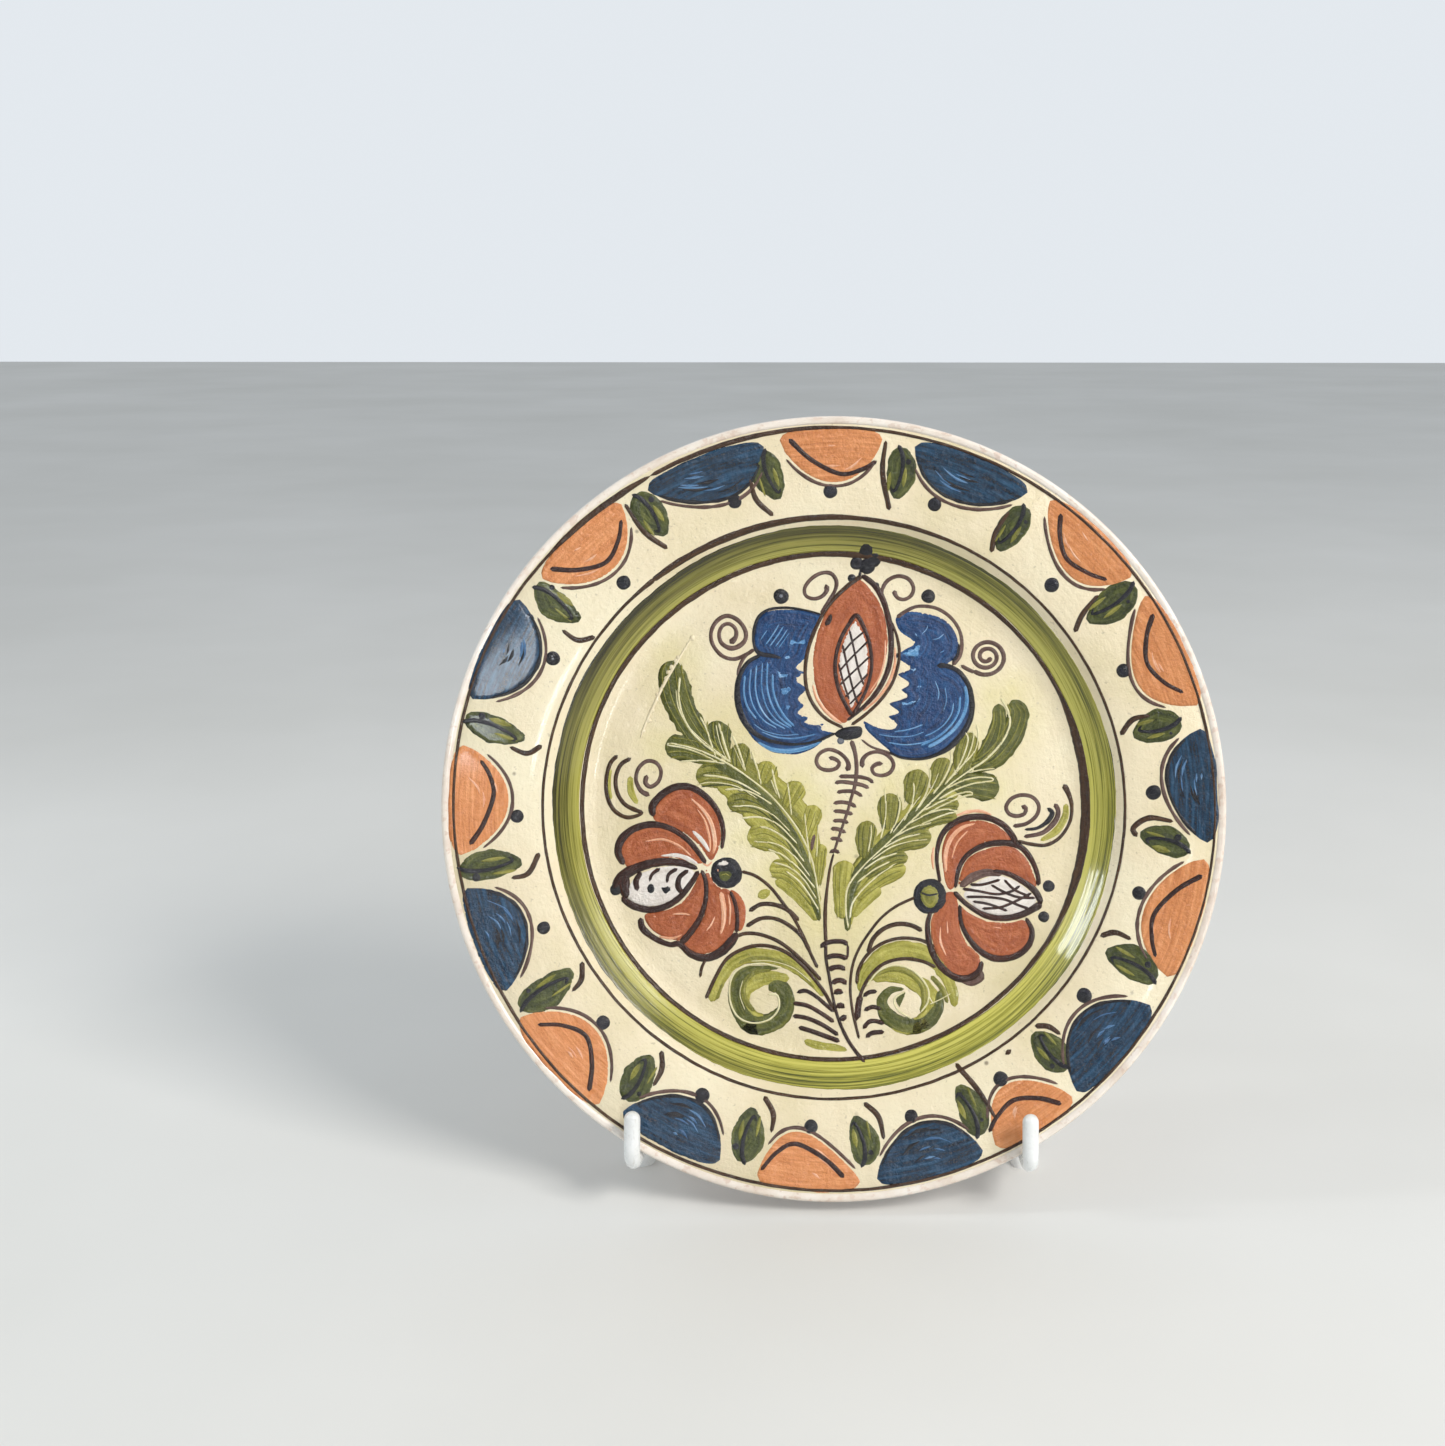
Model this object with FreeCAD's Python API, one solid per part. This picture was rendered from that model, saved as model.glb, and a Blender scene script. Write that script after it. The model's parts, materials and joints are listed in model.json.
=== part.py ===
import FreeCAD, Part
import math
import os

from FreeCAD import Vector

# A glazed earthenware plate standing on a folding wire easel.
# Units are mm. +Z is up and the painted face looks towards -Y.
# The origin is on the table, midway between the hooks and the rear bumpers.

# --- the plate: radii from its axis, depths behind the plane of the lip ---
PLATE_R = 105.0
LEAN_DEG = 15.0
PLATE_AXIS_Y = -31.48
PLATE_AXIS_Z = 105.2
SLIP_T = 0.45
SLIP_R = 102.7
BAND_T = 0.25
LINE_T = 0.30
LINE_W = 0.75
WELL_LINE_R = 69.3
SHOULDER_LINE_R = 78.7
OUTER_LINE_R = 102.0
BAND_IN_R = 70.1
BAND_OUT_R = 76.6

# painted face, from the middle outwards: (radius, depth, fillet radius)
FACE = [
    (0.0, -17.5, 0.0),
    (68.9, -16.6, 12.0),
    (78.5, -7.3, 5.0),
    (103.2, -0.55, 0.0),
]
# rolled lip, then the back inwards to the foot ring and the middle
LIP_TOP = (103.9, 0.0)
LIP_MID = (104.78, -0.95)
LIP_EDGE = (PLATE_R, -2.2)
LIP_BACK = (103.4, -5.2)
BACK = [
    LIP_BACK + (0.0,),
    (81.0, -12.2, 8.0),
    (69.5, -22.4, 10.0),
    (51.4, -23.2, 0.0),
]
FOOT_OUT_R = 50.6
FOOT_IN_R = 45.8
FOOT_ROUND = 1.2
FOOT_IN_SLOPE = 0.8
FOOT_INSIDE_ROUND = 1.0
PLATE_DEPTH = 27.0
BACK_MID = -23.0

# --- the easel's wires ---
COAT_R = 2.15
CORE_R = 1.60
HOOK_CORE_R = 1.50
END_COVER = 0.7
FRAME_GAP = 0.40
FRAME_W = -(PLATE_DEPTH + FRAME_GAP + COAT_R)
ARCH_R = 37.0
ARCH_V = 10.0
LEG_OVERRUN = 30.0

HOOK_X = 52.5
HOOK_V = -93.78
HOOK_BEND_R = 4.3
PEG_W = 4.6
PEG_TOP_V = -79.9

ROD_R = 1.50
ROD_V = 5.0
BORE_R = 1.56
# the sleeves stay behind the foot ring, which slides up past them when the plate is lifted out
SLEEVE_R = 2.20
SLEEVE_IN_X = 26.5
SLEEVE_OUT_X = 35.2

STRUT_DEG = 31.0
STRUT_BOTTOM_X = 43.0
STRUT_BEND_R = 9.0
BAR_Z = 3.05
BUMPER_R = 3.3
BUMPER_IN_X = 24.0
BUMPER_OUT_X = 33.0

TAB_GAP = 0.30
TAB_T = 1.5
TAB_IN_X = 29.5
TAB_OUT_X = 43.5
TAB_LOW = 0.6
TAB_HIGH = 6.2
WELD_OUT_X = 33.4
WELD_HIGH = 3.0
WELD_SINK = 0.65

CAP_R = 3.3
CAP_TOP_V = -96.7
CAP_ROUND = 0.8
CAP_FLOOR = 1.3
STOCK = 20.0

BIG = 400.0
AXIS = Vector(0, 0, 1)
ORIGIN = Vector(0, 0, 0)


def lean(shape):
    """Plate coordinates (x, up the face, out of the face) to the part's own frame."""
    placed = shape.copy()
    placed.rotate(ORIGIN, Vector(1, 0, 0), 90.0 - LEAN_DEG)
    placed.translate(Vector(0, PLATE_AXIS_Y, PLATE_AXIS_Z))
    return placed


def chain(corners):
    """Edges through 2-D corners (a, b, fillet radius) in the XZ plane, with arcs at the fillets."""
    edges = []
    here = Vector(corners[0][0], 0, corners[0][1])
    for before, at, after in zip(corners, corners[1:], corners[2:]):
        corner = Vector(at[0], 0, at[1])
        back = (Vector(before[0], 0, before[1]) - corner).normalize()
        ahead = (Vector(after[0], 0, after[1]) - corner).normalize()
        half = back.getAngle(ahead) / 2.0
        reach = at[2] / math.tan(half)
        middle = corner + (back + ahead).normalize() * (at[2] / math.sin(half))
        start = corner + back * reach
        end = corner + ahead * reach
        top = middle + (corner - middle).normalize() * at[2]
        edges.append(Part.LineSegment(here, start).toShape())
        edges.append(Part.Arc(start, top, end).toShape())
        here = end
    edges.append(Part.LineSegment(here, Vector(corners[-1][0], 0, corners[-1][1])).toShape())
    return edges


def line(a, b):
    return Part.LineSegment(Vector(a[0], 0, a[1]), Vector(b[0], 0, b[1])).toShape()


def turned(edges):
    """The solid of revolution of a closed outline about the plate's axis."""
    face = Part.Face(Part.Wire(Part.__sortEdges__(edges)))
    return face.revolve(ORIGIN, AXIS, 360.0)


def plate_blank():
    """The whole turned plate, with the slip coat still part of it."""
    edges = chain(FACE)
    edges.append(line(FACE[-1], LIP_TOP))
    arc = Part.Arc(Vector(LIP_TOP[0], 0, LIP_TOP[1]), Vector(LIP_MID[0], 0, LIP_MID[1]),
                   Vector(LIP_EDGE[0], 0, LIP_EDGE[1]))
    edges.append(arc.toShape())
    edges.append(line(LIP_EDGE, LIP_BACK))
    edges += chain(BACK)
    edges += chain([
        (BACK[-1][0], BACK[-1][1], 0.0),
        (FOOT_OUT_R, -PLATE_DEPTH, FOOT_ROUND),
        (FOOT_IN_R, -PLATE_DEPTH, FOOT_ROUND),
        (FOOT_IN_R - FOOT_IN_SLOPE, BACK_MID, FOOT_INSIDE_ROUND),
        (0.0, BACK_MID, 0.0),
    ])
    edges.append(line((0.0, BACK_MID), FACE[0]))
    return turned(edges)


def under_face(shift):
    """Everything behind the painted face, moved out of the face by shift."""
    edges = chain(FACE)
    edges.append(line(FACE[-1], (FACE[-1][0], -BIG)))
    edges.append(line((FACE[-1][0], -BIG), (0.0, -BIG)))
    edges.append(line((0.0, -BIG), FACE[0]))
    solid = turned(edges)
    solid.translate(Vector(0, 0, shift))
    return solid


def annulus(inner, outer):
    """A tall ring about the plate's axis."""
    ring = Part.makeCylinder(outer, 2 * BIG, Vector(0, 0, -BIG))
    if inner > 0:
        ring = ring.cut(Part.makeCylinder(inner, 2 * BIG, Vector(0, 0, -BIG)))
    return ring


def painted_ring(inner, outer, thickness):
    """A raised ring of colour that follows the face."""
    layer = under_face(thickness).common(annulus(inner, outer))
    return layer.cut(under_face(0.0))


def painted_line(radius):
    return painted_ring(radius - LINE_W / 2, radius + LINE_W / 2, LINE_T)


def pipe(edges, radius):
    """Round wire of one radius along straight and curved edges."""
    path = Part.Wire(edges)
    start = path.OrderedVertexes[0].Point
    first = path.OrderedEdges[0]
    at = first.FirstParameter
    if first.valueAt(at).distanceToPoint(start) > 1e-6:
        at = first.LastParameter
    section = Part.Wire(Part.makeCircle(radius, start, first.tangentAt(at)))
    return path.makePipeShell([section], True, False)


def frame_edges():
    """The front wire: up the left leg, over the arch and down the right leg, in the plane z = FRAME_W."""
    low = Vector(HOOK_X, HOOK_V, FRAME_W)
    middle = Vector(0, ARCH_V, FRAME_W)
    reach = low.distanceToPoint(middle)
    tilt = math.atan2(HOOK_X, ARCH_V - HOOK_V) - math.asin(ARCH_R / reach)
    touch = middle + Vector(math.cos(tilt), math.sin(tilt), 0) * ARCH_R
    foot = low + (low - touch).normalize() * LEG_OVERRUN
    top = middle + Vector(0, ARCH_R, 0)
    left_touch = Vector(-touch.x, touch.y, touch.z)
    left_foot = Vector(-foot.x, foot.y, foot.z)
    return [
        Part.LineSegment(left_foot, left_touch).toShape(),
        Part.Arc(left_touch, top, touch).toShape(),
        Part.LineSegment(touch, foot).toShape(),
    ], (low - touch).normalize()


def hook_edges(x):
    """A hook: straight out from the leg, then up in front of the lip."""
    start = Vector(x, HOOK_V, FRAME_W)
    bend_in = Vector(x, HOOK_V, PEG_W - HOOK_BEND_R)
    centre = Vector(x, HOOK_V + HOOK_BEND_R, PEG_W - HOOK_BEND_R)
    diagonal = HOOK_BEND_R / math.sqrt(2.0)
    bend_mid = centre + Vector(0, -diagonal, diagonal)
    bend_out = Vector(x, HOOK_V + HOOK_BEND_R, PEG_W)
    end = Vector(x, PEG_TOP_V - COAT_R, PEG_W)
    return [
        Part.LineSegment(start, bend_in).toShape(),
        Part.Arc(bend_in, bend_mid, bend_out).toShape(),
        Part.LineSegment(bend_out, end).toShape(),
    ], end


def above(height):
    """The half-space above a height over the table."""
    return Part.makeBox(2 * BIG, 2 * BIG, BIG, Vector(-BIG, -BIG, height))


edges, leg_down = frame_edges()
frame_core_long = lean(pipe(edges, CORE_R))
frame_outer_long = lean(pipe(edges, COAT_R))
frame_core = frame_core_long.common(above(CAP_FLOOR + END_COVER))
frame_outer = frame_outer_long.common(above(CAP_FLOOR))

leg_slope = leg_down.x / leg_down.y
rod_half = HOOK_X + (ROD_V - HOOK_V) * leg_slope
rod_full = lean(Part.makeCylinder(ROD_R, 2 * rod_half, Vector(-rod_half, ROD_V, FRAME_W), Vector(1, 0, 0)))

parts = {}

# --- plate ---
blank = plate_blank()
slip = under_face(0.0).cut(under_face(-SLIP_T)).common(annulus(0.0, SLIP_R)).common(blank)
parts["clay_body"] = lean(blank.cut(slip))
parts["cream_slip"] = lean(slip)
parts["green_band"] = lean(painted_ring(BAND_IN_R, BAND_OUT_R, BAND_T))
parts["well_line"] = lean(painted_line(WELL_LINE_R))
parts["shoulder_line"] = lean(painted_line(SHOULDER_LINE_R))
parts["outer_rim_line"] = lean(painted_line(OUTER_LINE_R))

# --- front frame ---
frame_coating = frame_outer.cut(frame_core).cut(rod_full)
for side, name in ((-1, "left"), (1, "right")):
    bent, peg_end = hook_edges(side * HOOK_X)
    round_end = Part.makeSphere(COAT_R, peg_end)
    core_end = peg_end - Vector(0, END_COVER, 0)
    core_cut = Part.makeBox(STOCK, STOCK, STOCK, core_end - Vector(STOCK / 2, 0, STOCK / 2))
    hook_core = lean(pipe(bent, HOOK_CORE_R).cut(core_cut)).cut(frame_core)
    hook_outer = lean(pipe(bent, COAT_R).fuse(round_end).removeSplitter())
    frame_coating = frame_coating.cut(hook_core)
    parts[name + "_hook_wire"] = hook_core
    parts[name + "_hook_sleeve"] = hook_outer.cut(hook_core).cut(frame_outer)

    along = Vector(side * leg_down.x, leg_down.y, 0)
    low = Vector(side * HOOK_X, HOOK_V, FRAME_W)
    mouth = low + along * ((CAP_TOP_V - HOOK_V) / leg_down.y)
    cap = Part.makeCylinder(CAP_R, STOCK, mouth, along)
    rim = min(cap.Edges, key=lambda edge: edge.CenterOfMass.distanceToPoint(mouth))
    cap = lean(cap.makeFillet(CAP_ROUND, [rim]))
    parts[name + "_front_foot"] = cap.common(above(0.0)).cut(frame_outer)
parts["frame_wire"] = frame_core
parts["frame_coating"] = frame_coating
parts["crossbar_rod"] = rod_full.cut(frame_core)

# --- rear strut, hinged on the crossbar rod ---
lean_rad = math.radians(LEAN_DEG)
strut_rad = math.radians(STRUT_DEG)
hinge = Vector(
    0,
    PLATE_AXIS_Y + ROD_V * math.sin(lean_rad) - FRAME_W * math.cos(lean_rad),
    PLATE_AXIS_Z + ROD_V * math.cos(lean_rad) + FRAME_W * math.sin(lean_rad),
)
down = Vector(0, math.sin(strut_rad), -math.cos(strut_rad))
strut_length = (hinge.z - BAR_Z) / math.cos(strut_rad)
strut_top_x = (SLEEVE_IN_X + SLEEVE_OUT_X) / 2.0


def strut_edges():
    """Down the left side, along the bar on the table and up the right side."""
    corner = Vector(STRUT_BOTTOM_X, 0, 0) + down * strut_length
    top = Vector(strut_top_x, 0, 0)
    up = (top - corner).normalize()
    across = Vector(-1, 0, 0)
    half = up.getAngle(across) / 2.0
    reach = STRUT_BEND_R / math.tan(half)
    middle = corner + (up + across).normalize() * (STRUT_BEND_R / math.sin(half))
    bend_start = corner + up * reach
    bend_end = corner + across * reach
    bend_mid = middle + (corner - middle).normalize() * STRUT_BEND_R

    def right(point):
        return hinge + point

    def left(point):
        return hinge + Vector(-point.x, point.y, point.z)

    return [
        Part.LineSegment(left(top), left(bend_start)).toShape(),
        Part.Arc(left(bend_start), left(bend_mid), left(bend_end)).toShape(),
        Part.LineSegment(left(bend_end), right(bend_end)).toShape(),
        Part.Arc(right(bend_end), right(bend_mid), right(bend_start)).toShape(),
        Part.LineSegment(right(bend_start), right(top)).toShape(),
    ]


def across_x(radius, start_x, end_x, centre):
    return Part.makeCylinder(radius, end_x - start_x, Vector(start_x, centre.y, centre.z), Vector(1, 0, 0))


sleeve_space = across_x(SLEEVE_R, -BIG, BIG, hinge)
strut_core = pipe(strut_edges(), CORE_R).cut(sleeve_space)
strut_outer = pipe(strut_edges(), COAT_R).cut(sleeve_space)
parts["strut_wire"] = strut_core
parts["strut_coating"] = strut_outer.cut(strut_core)
bar_centre = hinge + down * strut_length
for side, name in ((-1, "left"), (1, "right")):
    near, far = sorted((side * SLEEVE_IN_X, side * SLEEVE_OUT_X))
    sleeve = across_x(SLEEVE_R, near, far, hinge).cut(across_x(BORE_R, -BIG, BIG, hinge))
    parts[name + "_hinge_sleeve"] = sleeve

    near, far = sorted((side * TAB_IN_X, side * TAB_OUT_X))
    back = FRAME_W - COAT_R - TAB_GAP - TAB_T
    tab = Part.makeBox(far - near, TAB_HIGH - TAB_LOW, TAB_T, Vector(near, ROD_V + TAB_LOW, back))
    near, far = sorted((side * TAB_IN_X, side * WELD_OUT_X))
    reach = FRAME_W - WELD_SINK - back
    weld = Part.makeBox(far - near, WELD_HIGH - TAB_LOW, reach, Vector(near, ROD_V + TAB_LOW, back))
    parts[name + "_stop_tab"] = lean(tab.fuse(weld).removeSplitter()).cut(sleeve_space).cut(strut_outer)

    near, far = sorted((side * BUMPER_IN_X, side * BUMPER_OUT_X))
    bumper = across_x(BUMPER_R, near, far, bar_centre).common(above(0.0))
    parts[name + "_rear_bumper"] = bumper.cut(strut_outer)

os.makedirs("parts", exist_ok=True)
for node, shape in parts.items():
    solid = shape.Solids[0] if len(shape.Solids) == 1 else shape
    solid.exportStep("parts/" + node + ".step")
    print(node, len(shape.Solids), round(shape.Volume, 2), shape.isValid())
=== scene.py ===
import bisect
import json
import math
import random

import bmesh
import bpy
import numpy as np
from mathutils import Matrix, Vector, geometry, noise


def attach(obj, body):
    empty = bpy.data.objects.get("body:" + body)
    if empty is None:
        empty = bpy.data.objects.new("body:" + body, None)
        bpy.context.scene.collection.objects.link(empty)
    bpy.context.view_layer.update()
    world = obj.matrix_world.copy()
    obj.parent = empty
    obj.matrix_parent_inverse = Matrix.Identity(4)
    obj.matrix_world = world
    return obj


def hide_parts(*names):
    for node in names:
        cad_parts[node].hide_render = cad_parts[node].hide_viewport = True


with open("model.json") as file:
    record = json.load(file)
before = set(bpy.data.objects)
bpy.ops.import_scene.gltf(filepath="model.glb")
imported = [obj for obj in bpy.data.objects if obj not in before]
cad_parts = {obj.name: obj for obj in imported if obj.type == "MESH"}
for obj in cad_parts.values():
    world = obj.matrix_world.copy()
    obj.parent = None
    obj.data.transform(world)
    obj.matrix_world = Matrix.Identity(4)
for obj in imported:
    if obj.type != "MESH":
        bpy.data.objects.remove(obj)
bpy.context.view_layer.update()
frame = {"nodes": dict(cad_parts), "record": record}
MM = 0.001
ARC_STEPS = 9
BRUSH_STEP = 0.55
SLIP_EDGE = 102.6
CAST_BACK = -23.0

# ---------------------------------------------------------------- the plate's own surface
# Plate coordinates in mm: x to the right, v up the face, w out of the face; radii from the plate's axis.
LEAN = math.radians(15.0)
AXIS_Y, AXIS_Z = -31.48, 105.2
FACE = [(0.0, -17.5, 0.0), (68.9, -16.6, 12.0), (78.5, -7.3, 5.0), (103.2, -0.55, 0.0)]
BACK = [(103.4, -5.2, 0.0), (81.0, -12.2, 8.0), (69.5, -22.4, 10.0), (51.4, -23.2, 0.0)]


def rounded(corners):
    """Points along 2-D corners (a, b, fillet radius), with the fillets as short chords."""
    points = [Vector(corners[0][:2])]
    for before, at, after in zip(corners, corners[1:], corners[2:]):
        corner = Vector(at[:2])
        back = (Vector(before[:2]) - corner).normalized()
        ahead = (Vector(after[:2]) - corner).normalized()
        half = back.angle(ahead) / 2
        middle = corner + (back + ahead).normalized() * (at[2] / math.sin(half))
        start = corner + back * (at[2] / math.tan(half)) - middle
        end = corner + ahead * (at[2] / math.tan(half)) - middle
        turn = start.angle_signed(end)
        for i in range(ARC_STEPS + 1):
            points.append(middle + Matrix.Rotation(-turn * i / ARC_STEPS, 2) @ start)
    points.append(Vector(corners[-1][:2]))
    return points


FACE_POINTS = rounded(FACE)
FACE_R = [p.x for p in FACE_POINTS]


def face_w(r):
    """Depth of the painted face at a radius."""
    i = min(max(bisect.bisect_right(FACE_R, r), 1), len(FACE_R) - 1)
    a, b = FACE_POINTS[i - 1], FACE_POINTS[i]
    return a.y + (b.y - a.y) * (r - a.x) / (b.x - a.x)


def place(x, v, w):
    """Plate coordinates in mm to the shared frame in metres."""
    return Vector((
        x * MM,
        (AXIS_Y + v * math.sin(LEAN) - w * math.cos(LEAN)) * MM,
        (AXIS_Z + v * math.cos(LEAN) + w * math.sin(LEAN)) * MM,
    ))


def polar(angle, r):
    """A clock angle in degrees (0 at the top, clockwise) and a radius to (x, v)."""
    return (r * math.sin(math.radians(angle)), r * math.cos(math.radians(angle)))


def link(name, mesh, material, body, replaces=()):
    """A smooth-shaded piece in the scene, riding its body and standing for any CAD nodes it replaces."""
    piece = bpy.data.objects.new(name, mesh)
    bpy.context.scene.collection.objects.link(piece)
    mesh.materials.append(material)
    for polygon in mesh.polygons:
        polygon.use_smooth = True
    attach(piece, body)
    if replaces:
        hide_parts(*replaces)
    return piece


# ---------------------------------------------------------------- materials
def srgb(red, green, blue):
    """0-255 screen values to a linear colour."""
    linear = []
    for value in (red, green, blue):
        c = value / 255
        linear.append(c / 12.92 if c <= 0.04045 else ((c + 0.055) / 1.055) ** 2.4)
    return (*linear, 1.0)


class Nodes:
    """A material with a Principled shader and short ways to add what drives it."""

    def __init__(self, name, roughness, coat=0.0, ior=1.5):
        self.material = bpy.data.materials.new(name)
        self.material.use_nodes = True
        self.tree = self.material.node_tree
        self.shader = self.tree.nodes["Principled BSDF"]
        self.shader.inputs["Roughness"].default_value = roughness
        self.shader.inputs["Coat Weight"].default_value = coat
        self.shader.inputs["Coat Roughness"].default_value = 0.06
        self.shader.inputs["IOR"].default_value = ior

    def add(self, kind, **values):
        node = self.tree.nodes.new(kind)
        for key, value in values.items():
            setattr(node, key, value)
        return node

    def wire(self, source, target):
        self.tree.links.new(source, target)

    def spot(self):
        return self.add("ShaderNodeTexCoord").outputs["Object"]

    def attribute(self, name):
        return self.add("ShaderNodeAttribute", attribute_name=name).outputs["Vector"]

    def scaled(self, vector, scale):
        node = self.add("ShaderNodeVectorMath", operation="MULTIPLY")
        node.inputs[1].default_value = scale
        self.wire(vector, node.inputs[0])
        return node.outputs[0]

    def noise(self, vector, scale, detail=3.0, roughness=0.55):
        node = self.add("ShaderNodeTexNoise")
        node.inputs["Scale"].default_value = scale
        node.inputs["Detail"].default_value = detail
        node.inputs["Roughness"].default_value = roughness
        self.wire(vector, node.inputs["Vector"])
        return node.outputs["Fac"]

    def ramp(self, factor, stops):
        node = self.add("ShaderNodeValToRGB")
        elements = node.color_ramp.elements
        while len(elements) < len(stops):
            elements.new(0.5)
        for element, (position, colour) in zip(elements, stops):
            element.position = position
            element.color = colour
        self.wire(factor, node.inputs["Fac"])
        return node.outputs["Color"]

    def mix(self, factor, a, b):
        node = self.add("ShaderNodeMix", data_type="RGBA", blend_type="MIX")
        for socket, value in ((node.inputs["Factor"], factor), (node.inputs["A"], a), (node.inputs["B"], b)):
            if isinstance(value, (tuple, float, int)):
                socket.default_value = value
            else:
                self.wire(value, socket)
        return node.outputs["Result"]

    def range(self, value, low, high, to_low=0.0, to_high=1.0):
        node = self.add("ShaderNodeMapRange")
        for socket, number in zip(("From Min", "From Max", "To Min", "To Max"), (low, high, to_low, to_high)):
            node.inputs[socket].default_value = number
        self.wire(value, node.inputs["Value"])
        return node.outputs["Result"]

    def maths(self, operation, a, b):
        node = self.add("ShaderNodeMath", operation=operation)
        for socket, value in zip(node.inputs, (a, b)):
            if isinstance(value, (float, int)):
                socket.default_value = value
            else:
                self.wire(value, socket)
        return node.outputs[0]

    def bump(self, height, strength, distance, after=None):
        node = self.add("ShaderNodeBump")
        node.inputs["Strength"].default_value = strength
        node.inputs["Distance"].default_value = distance
        self.wire(height, node.inputs["Height"])
        if after:
            self.wire(after, node.inputs["Normal"])
        return node.outputs["Normal"]

    def finish(self, colour, normal=None, roughness=None):
        self.wire(colour, self.shader.inputs["Base Color"])
        if normal:
            self.wire(normal, self.shader.inputs["Normal"])
        if roughness:
            self.wire(roughness, self.shader.inputs["Roughness"])
        return self.material


def paint(name, *tones, streak=1.5, speckle=0.25, low=0.3, high=0.72):
    """Glazed slip in a dark, middle and light tone, with streaks along the stroke and pigment grains."""
    dark, mid, light = (srgb(*tone) for tone in tones)
    n = Nodes(name, 0.16, coat=0.08, ior=1.5)
    flow = n.attribute("flow")
    spot = n.spot()
    streaks = n.noise(n.scaled(flow, (0.10, streak, 3.7)), 1.0, 4.0, 0.6)
    colour = n.ramp(streaks, [(low, dark), (0.5, mid), (high, light)])
    grains = n.noise(spot, 1700.0, 2.0, 0.7)
    grain = n.range(grains, 0.42, 0.66, 0.0, speckle)
    colour = n.mix(grain, colour, light)
    pools = n.noise(spot, 260.0, 2.0, 0.5)
    colour = n.mix(n.range(pools, 0.5, 0.75, 0.0, 0.35), colour, dark)
    waves = n.bump(n.noise(spot, 330.0, 5.0, 0.7), 1.0, 0.001)
    return n.finish(colour, n.bump(streaks, 0.4, 0.0001, waves))


CREAM = srgb(228, 214, 182)
GREEN_TINT = srgb(208, 198, 124)


def specks(n, spot, colour, scale, sizes, gate, tint):
    """Iron specks: the middles of random cells, let through in some patches only."""
    cells = n.add("ShaderNodeTexVoronoi")
    cells.inputs["Scale"].default_value = scale
    n.wire(spot, cells.inputs["Vector"])
    dots = n.range(cells.outputs["Distance"], *sizes, 1.0, 0.0)
    patches = n.range(n.noise(spot, *gate[:2]), *gate[2:])
    return n.mix(n.maths("MULTIPLY", dots, patches), colour, tint)


# cream slip under clear glaze: warm and cool patches, specks, and a green bleed beside the leaves
n = Nodes("cream_slip_glaze", 0.15, coat=0.08, ior=1.5)
spot = n.spot()
patches = n.noise(spot, 22.0, 4.0, 0.55)
colour = n.ramp(patches, [(0.32, srgb(213, 200, 160)), (0.5, CREAM), (0.68, srgb(234, 224, 194))])
bleed = n.add("ShaderNodeAttribute", attribute_name="bleed").outputs["Fac"]
bleed_share = n.maths("MULTIPLY", bleed, n.range(n.noise(spot, 90.0, 3.0), 0.3, 0.7, 0.35, 1.0))
colour = n.mix(bleed_share, colour, GREEN_TINT)
fine = n.noise(spot, 900.0, 2.0, 0.6)
colour = n.mix(n.range(fine, 0.66, 0.72, 0.0, 0.30), colour, srgb(120, 104, 80))
colour = specks(n, spot, colour, 95.0, (0.03, 0.075), (60.0, 1.0, 0.52, 0.58, 0.0, 0.75), srgb(104, 92, 74))
turning = n.noise(n.scaled(n.attribute("flow"), (0.02, 1.6, 0.02)), 1.0, 3.0)
normal = n.bump(turning, 0.3, 0.0003, n.bump(n.noise(spot, 340.0, 5.0, 0.7), 0.8, 0.0006))
CREAM_SLIP = n.finish(colour, normal)

# the clay: pale pinkish buff, glazed clear, with iron specks and turning lines
n = Nodes("clay_glaze", 0.30, coat=0.35)
spot = n.spot()
colour = n.ramp(n.noise(spot, 40.0, 5.0, 0.6), [
    (0.3, srgb(196, 168, 148)), (0.5, srgb(214, 190, 172)), (0.7, srgb(228, 209, 193)),
])
colour = specks(n, spot, colour, 260.0, (0.08, 0.2), (130.0, 2.0, 0.5, 0.6, 0.0, 0.8), srgb(122, 84, 62))
lines = n.noise(n.scaled(n.attribute("flow"), (0.01, 1.3, 0.01)), 1.0, 4.0)
colour = n.mix(n.range(lines, 0.5, 0.75, 0.0, 0.35), colour, srgb(178, 146, 124))
lip_paint = n.ramp(n.noise(spot, 85.0, 5.0, 0.65), [
    (0.3, srgb(214, 196, 180)), (0.5, srgb(232, 221, 208)), (0.7, srgb(240, 233, 224)),
])
lip_share = n.add("ShaderNodeAttribute", attribute_name="lip").outputs["Fac"]
lip_share = n.maths("MULTIPLY", lip_share, n.range(n.noise(spot, 420.0, 3.0), 0.36, 0.44, 0.35, 1.0))
colour = n.mix(lip_share, colour, lip_paint)
normal = n.bump(lines, 0.5, 0.0004, n.bump(n.noise(spot, 700.0, 4.0), 0.2, 0.0002))
CLAY = n.finish(colour, normal)

# vinyl dip coating: white, smooth, faintly uneven, with scuffs
n = Nodes("white_vinyl", 0.28, coat=0.25, ior=1.46)
spot = n.spot()
colour = n.ramp(n.noise(spot, 120.0, 4.0), [(0.3, srgb(222, 224, 222)), (0.7, srgb(238, 240, 240))])
scuffs = n.range(n.noise(n.scaled(spot, (1.0, 1.0, 0.25)), 900.0, 2.0), 0.62, 0.7, 0.0, 0.4)
colour = n.mix(scuffs, colour, srgb(186, 184, 178))
normal = n.bump(n.noise(spot, 260.0, 2.0), 0.15, 0.0003)
VINYL = n.finish(colour, normal, n.range(n.noise(spot, 500.0, 3.0), 0.3, 0.7, 0.2, 0.4))

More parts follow.
